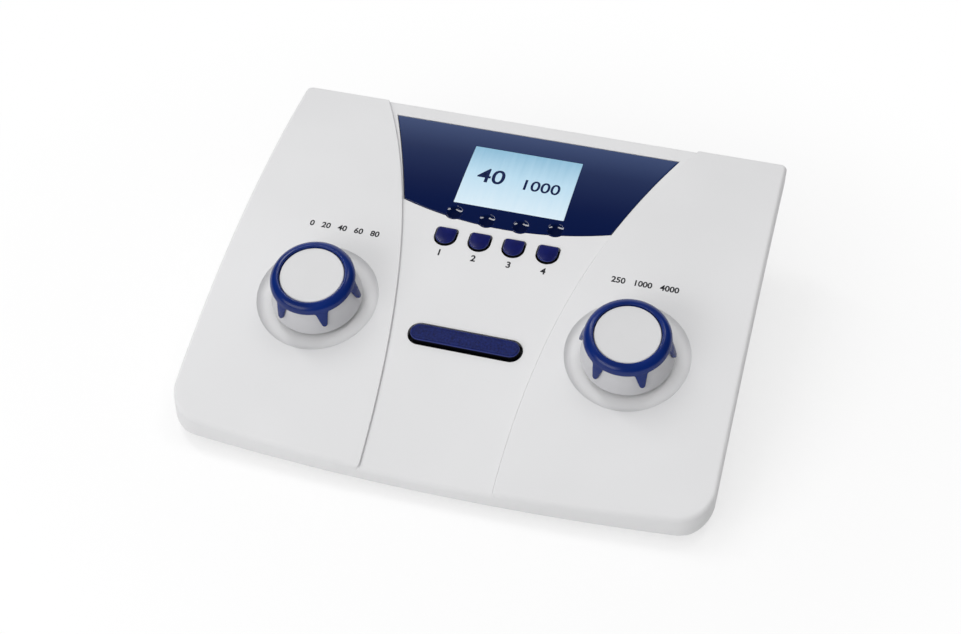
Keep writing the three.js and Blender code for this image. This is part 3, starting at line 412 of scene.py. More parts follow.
darkPlastic = moulded("darkPlastic", {
    "dark": (26, 27, 30), "light": (36, 37, 41), "patch": 9, "grain": 0.35, "detail": 3,
    "roughness": 0.5, "wander": 0.08, "relief": 0.4, "depth": 0.05,
})
footRubber = moulded("footRubber", {
    "dark": (40, 40, 42), "light": (54, 54, 56), "patch": 5, "grain": 0.25, "detail": 4,
    "roughness": 0.85, "wander": 0.08, "relief": 0.6, "depth": 0.06, "specular": 0.25,
})
steel = moulded("steel", {
    "dark": (168, 170, 174), "light": (192, 194, 197), "patch": 3, "grain": 0.15, "detail": 4,
    "roughness": 0.28, "wander": 0.08, "depth": 0.01, "metal": 1,
})
circuitBoard = moulded("circuitBoard", {
    "dark": (18, 84, 48), "light": (26, 104, 60), "patch": 6, "grain": 1.2, "detail": 4,
    "roughness": 0.4, "wander": 0.08, "relief": 0.3, "depth": 0.05,
})
printInk = moulded("printInk", {
    "dark": (16, 17, 26), "light": (26, 27, 36), "patch": 2, "grain": 0.12,
    "roughness": 0.55, "wander": 0.06, "depth": 0.005,
})


# Key colour up its own axis: painted shade in black in its slot, a paler painted highlight on its
# rounded edge, navy on top
keyPaintedLight = {"start": 1.6, "highlightStart": 0.5, "highlightEnd": 0.2,
           "shades": [(0.45, (6, 7, 16)), (0.55, (52, 62, 132))]}


def blackBelow(material, place, top, edge):
    tree = material.node_tree
    shader = tree.nodes["Principled BSDF"]
    axis = place.col[2].xyz
    level = axis.dot(place.translation) + top

    def run(start, end):
        return mapped(tree, ((level - start * edge) * mm, (level - end * edge) * mm))

    nodes = {
        "shader": shader, "place": tree.nodes["Texture Coordinate"],
        "shades": shader.inputs["Base Color"].links[0].from_node,
        "lift": addNode(tree, "ShaderNodeVectorMath", operation="DOT_PRODUCT", **{"1": axis}),
        # The slot ramp paints shade in black below the face; the edge ramp paints a paler
        # highlight band
        "slot": run(keyPaintedLight["start"], 0), "worn": run(keyPaintedLight["highlightStart"], keyPaintedLight["highlightEnd"]),
        "side": shadesOf(tree, keyPaintedLight["shades"]),
        "paint": addNode(tree, "ShaderNodeMix", data_type="RGBA"),
    }
    wire(tree, nodes, """
        place.Object > lift.0
        lift.Value > slot.Value
        lift.Value > worn.Value
        slot.Result > side.Fac
        worn.Result > paint.Factor
        side.Color > paint.A
        shades.Color > paint.B
        paint.Result > shader.Base Color""")


print("finishes made")


# Case in plan

planSteps = {"bow": 14, "corner": 16, "side": 44, "back": 8}


# Right half of the case's outline, front to back, as (x, y, share of the way to the side)
def planHalf(inset, rear=backY):
    corner, backCorner = case["frontCorner"], case["backCorner"]
    cornerX = halfWidth - corner
    cornerY = frontY + bowRadius - math.sqrt((bowRadius - corner) ** 2 - cornerX ** 2)
    spread = math.asin(cornerX / (bowRadius - corner))
    points = []
    for i in range(planSteps["bow"]):
        angle = spread * i / planSteps["bow"]
        radius = bowRadius - inset
        y = frontY + bowRadius - radius * math.cos(angle)
        points.append((radius * math.sin(angle), y, math.sin(angle)))
    for i in range(planSteps["corner"]):
        angle = spread + (math.pi / 2 - spread) * i / planSteps["corner"]
        radius = corner - inset
        x = cornerX + radius * math.sin(angle)
        points.append((x, cornerY - radius * math.cos(angle), math.sin(angle)))
    sideEnd = rear - backCorner
    for i in range(planSteps["side"]):
        y = cornerY + (sideEnd - cornerY) * i / planSteps["side"]
        points.append((halfWidth - inset, y, 1))
    for i in range(planSteps["back"] + 1):
        angle = math.pi / 2 * i / planSteps["back"]
        x = halfWidth - backCorner + (backCorner - inset) * math.cos(angle)
        y = sideEnd + (backCorner - inset) * math.sin(angle)
        points.append((x, y, 1))
    return points


def planLoop(inset, height):
    return [(x, y, height(y)) for x, y, share in planHalf(inset)]


def frontEdgeY(x):
    return frontY + bowRadius - math.sqrt(bowRadius ** 2 - x ** 2)


def seamX(y, margin=0):
    return seamCentre - math.sqrt((seamRadius + margin) ** 2 - (y - frontY) ** 2)


# Cover: arc skin with an edge radius all round, the wings' share of it cut along the seams

def coverSkin(name, lift):
    edge, lip = case["topEdge"], case["rimEdge"]
    loops = [planLoop(edge + case["lidInset"], lambda y: arcHeight(y, lift))]
    for drop, inset in quarter(edge, 6):
        loops.append(planLoop(inset, lambda y, d=drop: arcHeight(y, lift) - d))
    for inset, up in quarter(lip, 3):
        loops.append(planLoop(inset, lambda y, u=up: rimUnderside(y) + u))
    return mirroredLoft(name, loops)


# Middle panel's plan as a cutter: it flares at the top, which rounds the edge of each wing
def middlePanelCutter():
    edge, corner = case["wingEdge"], case["wingCorner"]
    cornerX = case["seamFront"] + corner
    cornerY = frontEdgeY(cornerX) + corner
    start, steps = frontY - overrun, 60

    def half(out):
        points = [(0, start), (cornerX, start)]
        points += arcPoints(cornerX, cornerY, corner - out, 270, 180, 10)
        for i in range(1, steps + 1):
            y = cornerY + (seamEnd - cornerY) * i / steps
            points.append((seamX(y, -out), y))
        return points

    loops = [[(x, y, -1) for x, y in half(0)]]
    for out, drop in quarter(edge, 5):
        loops.append([(x, y, arcHeight(min(y, backY), case["wing"] - drop)) for x, y in half(out)])
    loops.append([(x, y, case["backHeight"] + 2 * overrun) for x, y in half(edge)])
    return mirroredLoft("middlePanelCutter", loops)


# Fine groove at the foot of the step along a seam
def seamGroove(sign):
    width, depth, up, steps = case["grooveWidth"], case["grooveDepth"], case["grooveLift"], 60
    start = frontEdgeY(case["seamFront"]) - case["grooveStart"]
    points = []
    for i in range(steps + 1):
        y = start + (seamEnd - start) * i / steps
        z = arcHeight(min(y, backY))
        outer, inner = seamX(y), seamX(y, width)
        points += [(sign * outer, y, z - depth), (sign * inner, y, z - depth),
                   (sign * inner, y, z + up), (sign * outer, y, z + up)]
    faces = ringFaces(steps + 1, 4)
    faces += [(0, 1, 2, 3), tuple(4 * steps + i for i in range(4))]
    return makePiece("groove", points, faces)


dials = {
    "x": 66.2, "y": -27.6, "wellRadius": 25.8, "floorRadius": 20.6, "floor": -2.15,
    "floorTilt": 0.25, "wallPower": 4, "rim": 0.25, "cutTop": 6, "bushingHole": 4.8,
    "holeDepth": 9,
}
dialFrames = {
    side: frameOnArc(dials["y"], case["wing"], sign * dials["x"])
    for side, sign in (("left", -1), ("right", 1))
}


# Dished well round a dial, deeper at its back: from a flat floor its wall curves up ever steeper
# to a crisp rim on the arc
def wellCutter(side):
    steps, count = 14, 144
    reach = profileRadius + case["wing"]

    def surface(angle, radius):
        across = radius * math.sin(angle)
        return math.sqrt(reach ** 2 - across ** 2) - reach

    def base(angle, radius):
        share = min(radius / dials["floorRadius"], 1)
        return dials["floor"] - dials["floorTilt"] * share * math.sin(angle)

    def ring(radius, height):
        angles = [2 * math.pi * i / count for i in range(count)]
        return [(radius * math.cos(a), radius * math.sin(a), height(a, radius)) for a in angles]

    loops = [ring(0.5, base), ring(dials["floorRadius"] * 0.6, base)]
    for i in range(steps + 1):
        share = i / steps
        climb = share ** dials["wallPower"]
        radius = dials["floorRadius"] + (dials["wellRadius"] - dials["floorRadius"]) * share
        loops.append(ring(radius, lambda a, r: base(a, r) + (surface(a, r) - base(a, r)) * climb))
    lip = dials["wellRadius"] + dials["rim"]
    loops.append(ring(lip, lambda a, r: surface(a, r) + dials["rim"]))
    loops.append(ring(lip, lambda a, r: dials["cutTop"]))
    return stacked("wellCutter", loops, dialFrames[side])


window = {
    "gap": 0.8, "sideFront": 31.2, "front": 23.6, "back": 84, "thickness": 1.2, "edge": 0.3,
    "flare": 1.6, "dimple": 4, "dimpleDepth": 0.75, "dimpleOverhang": 0.9, "dimpleRim": 0.35,
    # The darker scoop colour here is painted shade in each scoop
    "seat": 0.35, "roughness": (0.06, 0.1), "haze": 9, "scoopPaintedShade": (2, 12, 48),
    # The shades pale from navy to slate towards the back in a painted reflection
    "shades": [(0, (4, 20, 66)), (0.35, (6, 24, 70)), (0.7, (14, 36, 82)), (1, (26, 54, 104))],
}
lcd = {
    "width": 49.4, "length": 37.62, "y": 52.9, "gap": 0.12, "opening": 3, "thickness": 1.3,
    "edge": 0.05, "streak": 2.2, "stretch": 0.06, "swing": 0.12, "glow": 0.22, "roughness": 0.12,
    "shades": [(0, (204, 221, 231)), (0.55, (176, 206, 223)), (1, (130, 174, 199))],
}
keys = {
    "count": 4, "pitch": 14.95, "y": 14.05, "width": 9.5, "length": 9.7, "corner": 1.6,
    "proud": 1.3, "slotGrow": 0.3, "slotDepth": 6, "inset": 0.5, "draw": 0.3, "edge": 0.5,
    "edgeSteps": 6, "dome": 0.2, "domeReach": 3.3, "flange": 1.6, "flangeTop": -2.8,
    "flangeBottom": -4, "stem": (-6.8, -3), "stemRadius": 1.5,
}
keyPlaces = [(i - (keys["count"] - 1) / 2) * keys["pitch"] for i in range(keys["count"])]


def windowEdgeY(x, inset=0):
    front = window["sideFront"] + inset
    chord = seamX(front, window["gap"] + inset)
    sagitta = window["sideFront"] - window["front"]
    radius = (chord ** 2 + sagitta ** 2) / (2 * sagitta)
    return front - sagitta + radius - math.sqrt(max(radius ** 2 - x ** 2, 0))


def dimplePlaces():
    drop = window["dimple"] - window["dimpleOverhang"]
    return [(x, windowEdgeY(x) + drop) for x in keyPlaces]


# Window in plan: its front edge is bowed and bulges round each dimple, its sides follow the seams
def windowOutline(inset):
    margin = window["gap"] + inset
    front, back = window["sideFront"] + inset, window["back"] - inset
    chord = seamX(front, margin)
    radius = window["dimple"] - inset
    points = []
    steps = 300
    for i in range(steps + 1):
        x = chord * (2 * i / steps - 1)
        y = windowEdgeY(x, inset)
        for cx, cy in dimplePlaces():
            if abs(x - cx) < radius:
                y = min(y, cy - math.sqrt(radius ** 2 - (x - cx) ** 2))
        points.append((x, y))
    sides = 30
    right = []
    for i in range(1, sides + 1):
        y = front + (back - front) * i / sides
        right.append((seamX(y, margin + window["flare"] * (i / sides) ** 2), y))
    return points + right + [(-x, y) for x, y in reversed(right)]


def lcdOutline(inset=0):
    x, y = lcd["width"] / 2 - inset, lcd["length"] / 2 - inset
    corners = [(-x, -y), (x, -y), (x, y), (-x, y)]
    points = []
    steps = 12
    for i, (ax, ay) in enumerate(corners):
        bx, by = corners[(i + 1) % 4]
        points += [(ax + (bx - ax) * j / steps, lcd["y"] + ay + (by - ay) * j / steps)
                   for j in range(steps)]
    return points


# D outline of a soft key, moved in by inset: flat to the display, half round to the user
def keyOutline(inset=0):
    radius = keys["width"] / 2 - inset
    centre = keys["width"] / 2 - keys["length"] / 2
    corner = max(keys["corner"] - inset, 0.3)
    flat = keys["length"] / 2 - inset
    points = arcPoints(0, centre, radius, 180, 360, 40)
    points += arcPoints(radius - corner, flat - corner, corner, 0, 90, 8)
    points += arcPoints(corner - radius, flat - corner, corner, 90, 180, 8)
    return points


def atHeight(outline, height):
    return [(x, y, height) for x, y in outline]


bar = {
    "y": -35.2, "slotLength": 48, "slotWidth": 9.6, "inset": 0.9, "slotGrow": 0.45,
    "slotDepth": 8, "proud": 2, "draw": 0.4, "edge": 0.8, "edgeSteps": 5, "dish": 0.12,
    "dishReach": 0.5, "flange": 1.1, "flangeTop": -3.8, "flangeBottom": -5, "stem": (-8.2, -4),
    "stemRadius": 1.5, "stemPlaces": (-13, 13),
}
barCentre = (bar["y"] - dials["y"]) / math.cos(math.asin((backY - dials["y"]) / profileRadius))
barFrame = frameOnArc(dials["y"], case["wing"])


def stadiumOutline(inset, steps=28):
    radius = bar["slotWidth"] / 2 - inset
    reach = bar["slotLength"] / 2 - bar["slotWidth"] / 2
    points = arcPoints(reach, barCentre, radius, -90, 90, steps)
    return points + arcPoints(-reach, barCentre, radius, 90, 270, steps)


def topCover():
    wings = carve(coverSkin("wings", case["wing"]), [middlePanelCutter()])
    cover = carve(coverSkin("top_cover_skin", 0), [wings], "UNION")
    wall, seat = case["wall"], window["seat"]
    cutters = [
        mirroredLoft("cavity", [planLoop(wall, lambda y: arcHeight(y, -wall)),
                                planLoop(wall, lambda y: rimUnderside(y) - overrun)]),
        wellCutter("left"), wellCutter("right"),
        arcPlate("seat", lambda inset: windowOutline(inset - seat), -window["thickness"] - seat,
                 overrun, 0.01, spacing=6),
        stacked("opening", [atHeight(lcdOutline(-lcd["opening"]), z)
                            for z in (0, 2 * case["backHeight"])]),
    ]
    for place in dialFrames.values():
        cutters.append(cylinder("hole", dials["bushingHole"], -dials["holeDepth"], overrun,
                                place, steps=48))
    slots = [(keyOutline, keys, frameOnArc(keys["y"], 0, x)) for x in keyPlaces]
    for outline, look, place in slots + [(stadiumOutline, bar, barFrame)]:
        ends = [atHeight(outline(-look["slotGrow"]), z) for z in (-look["slotDepth"], overrun)]
        cutters.append(stacked("slot", ends, place))
    return carve(cover, cutters + [seamGroove(-1), seamGroove(1)])


dress(topCover(), casePlastic, "case", ["top_cover"])
print("cover made")


# Lower shell: leans inwards below the rim, with a floor

shell = {
    "gap": 0.3, "wall": 2.2, "floor": 2.6, "floorWall": 2.2, "floorStep": 0.3, "openTop": 2,
    "lean": 0.3, "back": 86, "edge": 1.2,
}
rearPanel = {"width": 152, "height": 22, "cut": 6}
feet = {
    "places": [(-84, -70), (84, -70), (-84, 66), (84, 66)], "radius": 7, "edge": 0.6, "top": 3.3,
    "groove": 4.2, "grooveDepth": 0.3, "slope": 0.8, "slopeDepth": 0.08, "clearance": 0.3,
}
caseScrews = {
    "places": [(-94, -58), (94, -58), (-86, 50), (86, 50)], "wellRadius": 3.4, "wellTop": 7,
}


def shellLoop(inset, height, rear=0):
    points = []
    for x, y, share in planHalf(inset, shell["back"] - rear):
        z = height(y)
        points.append((x - shell["lean"] * max(rimUnderside(y) - z, 0) * share, y, z))
    return points


def bottomShell():
    outer = case["wall"] + shell["gap"]
    loops = [shellLoop(outer, lambda y: arcHeight(y, -outer)), shellLoop(outer, rimUnderside)]
    loops += [shellLoop(outer + inset, lambda y, u=up: shell["floor"] + u)
              for inset, up in quarter(shell["edge"], 4)]
    body = mirroredLoft("bottom_shell_skin", loops)
    inner = outer + shell["wall"]
    top = shell["floor"] + shell["floorWall"]
    hollow = mirroredLoft("hollow", [
        shellLoop(inner, lambda y: arcHeight(y) + shell["openTop"], shell["wall"]),
        shellLoop(inner, lambda y: max(rimUnderside(y), top + shell["floorStep"]), shell["wall"]),
        shellLoop(inner, lambda y: top, shell["wall"]),
    ])
    low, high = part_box("rear_panel")
    centre = (low + high) / 2 / mm
    x, z = rearPanel["width"] / 2, rearPanel["height"] / 2
    front, back = shell["back"] - rearPanel["cut"], shell["back"] + rearPanel["cut"]
    corners = [(-x, front), (x, front), (x, back), (-x, back)]
    opening = stacked("opening", [atHeight(corners, centre.z + h) for h in (-z, z)])
    clear = feet["clearance"]
    cutters = [cylinder("pocket", feet["radius"] + clear, 0, feet["top"] + clear,
                        Matrix.Translation((x, y, 0)), steps=48) for x, y in feet["places"]]
    cutters += [cylinder("well", caseScrews["wellRadius"], 0, caseScrews["wellTop"],
                         Matrix.Translation((x, y, 0)), steps=32)
                for x, y in caseScrews["places"]]
    return carve(body, cutters + [hollow, opening])


dress(bottomShell(), casePlastic, "case", ["bottom_shell"])
print("shell made")


# Display window with a dimple in front of each key, and the pane in its middle

# Value that runs from 0 at one place to 1 at another along y, which a ramp can turn into shades
def alongDepth(tree, start, end):
    nodes = {
        "place": tree.nodes.new("ShaderNodeTexCoord"),
        "split": tree.nodes.new("ShaderNodeSeparateXYZ"),
        "run": mapped(tree, (start * mm, end * mm)),
    }
    wire(tree, nodes, """
        place.Object > split.Vector
        split.Y > run.Value""")
    return nodes["place"], nodes["run"]


# Navy lens under a hard clear gloss, paling to slate at the back in a painted reflection
def tintedLens():
    material, tree, shader = newMaterial("navyLens", {"Specular IOR Level": 0.5})
    place, run = alongDepth(tree, window["front"], window["back"])
    nodes = {
        "shader": shader, "run": run, "shades": shadesOf(tree, window["shades"]),
        # The scoop map darkens the colour there into painted shade
        "scoop": addNode(tree, "ShaderNodeUVMap", uv_map="scoop"),
        "deep": tree.nodes.new("ShaderNodeSeparateXYZ"),
        "ink": addNode(tree, "ShaderNodeMix", data_type="RGBA", B=linear(*window["scoopPaintedShade"])),
        "haze": noise(tree, place, window["haze"], 2),
        "spread": mapped(tree, made=window["roughness"]),
    }
    wire(tree, nodes, """
        run.Result > shades.Fac
        scoop.UV > deep.Vector
        deep.X > ink.Factor
        shades.Color > ink.A
        ink.Result > shader.Base Color
        haze.Fac > spread.Value
        spread.Result > shader.Roughness""")
    return material


# Depth of the scoops: round at the back, and level towards the key
def dimpleDepth(x, y):
    radius = window["dimple"] - window["dimpleRim"]
    for cx, cy in dimplePlaces():
        if math.hypot(x - cx, y - cy) < radius - 0.01:
            away = math.hypot(x - cx, max(y - cy, 0))
            return window["dimpleDepth"] * (1 - (away / radius) ** 2)
    return 0


def dimplePoints():
    radius = window["dimple"] - window["dimpleRim"]
    points = []
    for cx, cy in dimplePlaces():
        points.append((cx, cy))
        for share in (0.12, 0.25, 0.38, 0.5, 0.62, 0.74, 0.85, 0.93, 0.97, 1, 1.04):
            count = max(10, round(share * 64))
            points += arcPoints(cx, cy, radius * share, 0, 360 - 360 / count, count - 1)
    return points


# Painted shade in the scoops: a map of how deep the face lies there, which darkens the lens's
# colour
def markScoops(piece):
    layer = piece.data.uv_layers.new(name="scoop")
    for corner in piece.data.loops:
        x, y, z = piece.data.vertices[corner.vertex_index].co / mm
        share = dimpleDepth(x, y) / window["dimpleDepth"]
        layer.data[corner.index].uv = (min(1, 2 * share), 0.5)


navyLens = tintedLens()
lens = arcPlate("display_window_lens", windowOutline, -window["thickness"], 0, window["edge"],
                hole=lcdOutline(), shape=dimpleDepth, extra=dimplePoints(), spacing=3)
# Painted shade in each scoop
markScoops(lens)
dress(lens, navyLens, "case", ["display_window"], crisp=18)


# Lit pane: brighter towards the user, with faint upright streaks of its polariser
def litPane():
    material, tree, shader = newMaterial("lcdGlass", {"Emission Strength": lcd["glow"],
                                                      "Roughness": lcd["roughness"]})
    place, down = alongDepth(tree, lcd["y"] - lcd["length"] / 2, lcd["y"] + lcd["length"] / 2)
    stretch = (1, lcd["stretch"], lcd["stretch"])
    nodes = {
        "shader": shader, "place": place, "down": down,
        "stretch": addNode(tree, "ShaderNodeMapping", Scale=stretch),
        "streaks": addNode(tree, "ShaderNodeTexNoise", Scale=1 / (lcd["streak"] * mm), Detail=3),
        "swing": mapped(tree, made=(-lcd["swing"], lcd["swing"])),
        "total": reckon(tree, "ADD"), "shades": shadesOf(tree, lcd["shades"]),
    }
    wire(tree, nodes, """
        place.Object > stretch.Vector
        stretch.Vector > streaks.Vector
        streaks.Fac > swing.Value
        down.Result > total.0
        swing.Result > total.1
        total.Value > shades.Fac
        shades.Color > shader.Base Color
        shades.Color > shader.Emission Color""")
    return material


lcdGlass = litPane()
pane = arcPlate("lcd_glass_pane", lambda inset: lcdOutline(inset + lcd["gap"]), -lcd["thickness"],
                -lcd["gap"], lcd["edge"], spacing=5)
dress(pane, lcdGlass, "case", ["lcd_glass"], crisp=40)
print("display made")


# Soft keys and tone bar: a side that draws in a little, a rounded edge and a face that the caller
# gives as (inset, lift), over a flange and stems
def keyCap(name, look, outline, top, face, place, stems):
    side, edge = look["inset"], look["edge"]
    loops = [atHeight(outline(side + look["draw"]), look["flangeTop"] - overlap),
             atHeight(outline(side), top - edge)]
    loops += [atHeight(outline(side + inset), top - drop)
              for inset, drop in quarter(edge, look["edgeSteps"], 1)]
    loops += [atHeight(outline(side + edge + inset), top + lift) for inset, lift in face]
    cap = stacked(name, loops, place)
    rims = [atHeight(outline(-look["flange"]), look[end]) for end in ("flangeBottom", "flangeTop")]
    low, high = look["stem"]
    parts = [stacked("flange", rims, place)]
    parts += [cylinder("stem", look["stemRadius"], low, high,
                       place @ Matrix.Translation((x, y, 0)), steps=32) for x, y in stems]
    return carve(cap, parts, "UNION")


keyTop = keys["proud"] - keys["dome"]
keyFace = [(keys["domeReach"] * i / 8, keys["dome"] * (1 - (1 - i / 8) ** 2)) for i in range(1, 8)]
# Painted shade in each key's slot and a painted highlight along its rounded edge
blackBelow(navyKey, frameOnArc(keys["y"]), keyTop, keys["edge"])
for index, keyX in enumerate(keyPlaces):
    number = index + 1
    softKey = keyCap(f"key_{number}_cap", keys, keyOutline, keyTop, keyFace,
                     frameOnArc(keys["y"], 0, keyX), [(0, 0)])
    dress(softKey, navyKey, f"soft_key_{number}", [f"key_{number}"], crisp=38)

barTop = bar["proud"] - case["wing"]
barFace = [(bar["dishReach"] * i / 3, -bar["dish"] * (i / 3) ** 2) for i in range(1, 4)]
# Painted shade in the bar's slot and a painted highlight along its rounded edge
blackBelow(navyGrain, barFrame, barTop, bar["edge"])
toneBar = keyCap("tone_bar_cap", bar, stadiumOutline, barTop, barFace, barFrame,
                 [(x, barCentre) for x in bar["stemPlaces"]])
dress(toneBar, navyGrain, "tone_key", ["tone_bar"], crisp=38)
print("keys made")


# Dials

skirt = {
    "bottomRadius": 19.2, "bottom": 0.4, "topRadius": 17, "top": 12.6, "wall": 1.8, "edge": 0.5,
    "foot": 0.2, "belly": 0.12, "boss": 12.5, "hub": 6, "hubBottom": 3.7, "bore": 3.3,
    "boreTop": 12.3,
}
crown = {
    "innerRadius": 13.7, "crestRadius": 14.25, "crestHeight": 16.85, "radius": 17.8,
    "edgeHeight": 13.4, "bottom": 12.9, "fullness": 1.8, "claws": 6, "tipHeight": 5.8,
    "tipRadius": 1.3, "tipReach": 19.6, "rootHalf": 3.25, "neckHalf": 2.4, "neckHeight": 11.6,
    "bendAcross": 0.3, "bendDrop": 0.1, "round": 0.55, "ridge": 0.45, "ridgeGrow": 0.4,
    "tipLean": 12, "lift": 0.35, "clearance": 0.3,
}
cap = {
    "radius": 13.4, "top": 16, "thickness": 2.6, "edge": 0.45, "dish": 0.05, "gap": 0.3,
    "centre": 6, "flatEnd": 0.4, "dishStart": 0.9,
}


def skirtRadius(height):
    share = (height - skirt["bottom"]) / (skirt["top"] - skirt["bottom"])
    return skirt["bottomRadius"] + (skirt["topRadius"] - skirt["bottomRadius"]) * share


def knobSkirt(side):
    edge, wall, foot = skirt["edge"], skirt["wall"], skirt["foot"]
    radius, bottom, top = skirt["bottomRadius"], skirt["bottom"], skirt["top"]
    hollow = top - wall
    profile = [(0, skirt["boreTop"]), (skirt["bore"], skirt["boreTop"]),
               (skirt["bore"], skirt["hubBottom"]), (skirt["hub"], skirt["hubBottom"]),
               (skirt["hub"], hollow), (skirtRadius(hollow) - wall, hollow),
               (radius - wall, bottom + foot), (radius - wall + foot, bottom)]
    profile += [(radius - inset, bottom + rise) for rise, inset in quarter(edge, 6)]
    steps = 10
    for i in range(1, steps + 1):
        share = i / steps
        height = bottom + edge + (top - bottom - edge) * share
        bulge = skirt["belly"] * 4 * share * (1 - share)
        profile.append((skirtRadius(height) + bulge, height))
    seat = cap["top"] - cap["thickness"] - cap["gap"]
    profile += [(skirt["boss"], top), (skirt["boss"], seat), (0, seat)]
    made = turned(f"{side}_skirt", profile, dialFrames[side], steps=160)
    return dress(made, skirtPlastic, f"{side}_dial", [f"{side}_knob_skirt"],
                 crisp=40)


def knobCap(side):
    edge, top, radius = cap["edge"], cap["top"], cap["radius"]
    bottom, low = top - cap["thickness"], top - cap["dish"]
    profile = [(0, bottom), (radius, bottom), (radius, top - edge)]
    profile += [(radius - inset, top - drop) for inset, drop in quarter(edge, 5, 1)]
    profile += [(radius - edge - cap["flatEnd"], top), (radius - edge - cap["dishStart"], low),
                (cap["centre"], low), (0, low)]
    made = turned(f"{side}_cap", profile, dialFrames[side], steps=144)
    return dress(made, dialPlastic, f"{side}_dial", [f"{side}_knob_cap"], crisp=50)


# Lower edge of the crown over half a claw's share, as (across, height): round tip, flank, the
# fillet at its root and the edge of the ring
def clawEdge():
    tip = crown["tipRadius"]
    tipCentre = crown["tipHeight"] + tip
    points = [(tip * math.sin(math.radians(a)), tipCentre - tip * math.cos(math.radians(a)))
              for a in range(0, 91 - crown["tipLean"], 6)]
    start = points[-1]
    neck = (crown["neckHalf"], crown["neckHeight"])
    root = (crown["rootHalf"], crown["bottom"])
    bend = (neck[0] + crown["bendAcross"], root[1] - crown["bendDrop"])
    for i in range(1, 9):
        share = i / 8
        points.append(tuple(a + (b - a) * share for a, b in zip(start, neck)))
    for i in range(1, 19):
        share = i / 18
        points.append(tuple((1 - share) ** 2 * a + 2 * share * (1 - share) * b + share ** 2 * c
                            for a, b, c in zip(neck, bend, root)))
    reach = crown["radius"] * math.pi / crown["claws"]
    for i in range(1, 9):
        points.append((root[0] + (reach - root[0]) * i / 8, crown["bottom"]))
    return points


def awayFrom(line, across, height):
    best = 99
    for (ax, ay), (bx, by) in zip(line, line[1:]):
        dx, dy = bx - ax, by - ay
        share = ((across - ax) * dx + (height - ay) * dy) / (dx * dx + dy * dy)
        share = min(max(share, 0), 1)
        best = min(best, math.hypot(across - ax - dx * share, height - ay - dy * share))
    return best


# Radius of the crown's outer face below the ring: it leans out to the claw's tip, carries a
# soft ridge and rounds off to the skirt along the claw's outline
def clawFace(across, height, line):
    down = (crown["edgeHeight"] - height) / (crown["edgeHeight"] - crown["tipHeight"])
    base = skirtRadius(min(height, skirt["top"])) + crown["lift"]
    lean = crown["radius"] + (crown["tipReach"] - crown["radius"]) * down
    width = crown["neckHalf"] + crown["ridgeGrow"]
    crest = crown["ridge"] * max(0, 1 - (across / width) ** 2) * min(1, 3 * down)
    away = min(awayFrom(line, across, height) / crown["round"], 1)
    return base + (lean + crest - base) * math.sqrt(1 - (1 - away) ** 2)


# Section of the crown at one place across a claw: up the bore, over the crest, down the face
def crownSection(across, low, line):
    inner, crest, top = crown["innerRadius"], crown["crestRadius"], crown["crestHeight"]
    lip = crest - inner
    points = [(inner, crown["bottom"]), (inner, top - lip)]
    for i in range(1, 5):
        angle = math.radians(90 * i / 5)
        points.append((crest - lip * math.cos(angle), top - lip + lip * math.sin(angle)))
    run, rise = crown["radius"] - crest, top - crown["edgeHeight"]
    bend = 2 / crown["fullness"]
    for i in range(15):
        angle = math.radians(90 * (14 - i) / 14)
        points.append((crest + run * max(math.cos(angle), 0) ** bend,
                       crown["edgeHeight"] + rise * max(math.sin(angle), 0) ** bend))
    rows = 20
    for i in range(1, rows + 1):
        share = 1 - (1 - i / rows) ** 2
        height = crown["edgeHeight"] + (low - crown["edgeHeight"]) * share
        points.append((clawFace(across, height, line), height))
    for height in (low, crown["bottom"]):
        points.append((skirtRadius(height) + crown["clearance"], height))
    return points


# One claw's share of the crown as an open strip; Geometry Nodes turns the copies round the dial
def crownSector():
    line = clawEdge()
    edges = [(-across, low) for across, low in reversed(line[1:])] + line
    points, faces = [], []
    for across, low in edges:
        angle = across / crown["radius"]
        section = crownSection(abs(across), low, line)
        count = len(section)
        points += [(r * math.cos(angle), r * math.sin(angle), z) for r, z in section]
    for i in range(len(edges) - 1):
        for j in range(count):
            a, b = i * count + j, i * count + (j + 1) % count
            faces.append((a, b, b + count, a + count))
    return makePiece("crown_sector", points, faces)


# Geometry Nodes tree that sets copies of a piece, makes them real and gives them their finish.
# Its own inputs and nodes are given by name, and lines join them as in wire.
def copyTree(name, inputs, kinds, lines):
    tree = bpy.data.node_groups.new(name, "GeometryNodeTree")
    tree.interface.new_socket("Geometry", in_out="OUTPUT", socket_type="NodeSocketGeometry")
    sockets = {"Piece": ("Geometry", None), **inputs, "Finish": ("Material", None)}
    for title, (kind, value) in sockets.items():
        socket = tree.interface.new_socket(title, in_out="INPUT", socket_type="NodeSocket" + kind)
        if value is not None:
            socket.default_value = value
    kinds = {
        "given": ("NodeGroupInput", {}), "result": ("NodeGroupOutput", {}),
        "copies": ("GeometryNodeInstanceOnPoints", {}),
        "real": ("GeometryNodeRealizeInstances", {}),
        "paint": ("GeometryNodeSetMaterial", {}), **kinds,
    }
    nodes = {title: addNode(tree, kind, **values) for title, (kind, values) in kinds.items()}
    wire(tree, nodes, lines + """
        given.Piece > copies.Instance
        copies.Instances > real.Geometry
        given.Finish > paint.Material
        paint.Geometry > result.Geometry""")
    return tree


def grown(piece, tree, values):
    change = piece.modifiers.new("grown", "NODES")
    change.node_group = tree
    for socket in tree.interface.items_tree:
        if socket.in_out == "INPUT" and socket.name in values:
            change[socket.identifier] = values[socket.name]
    return settle(piece, evaluated(piece))


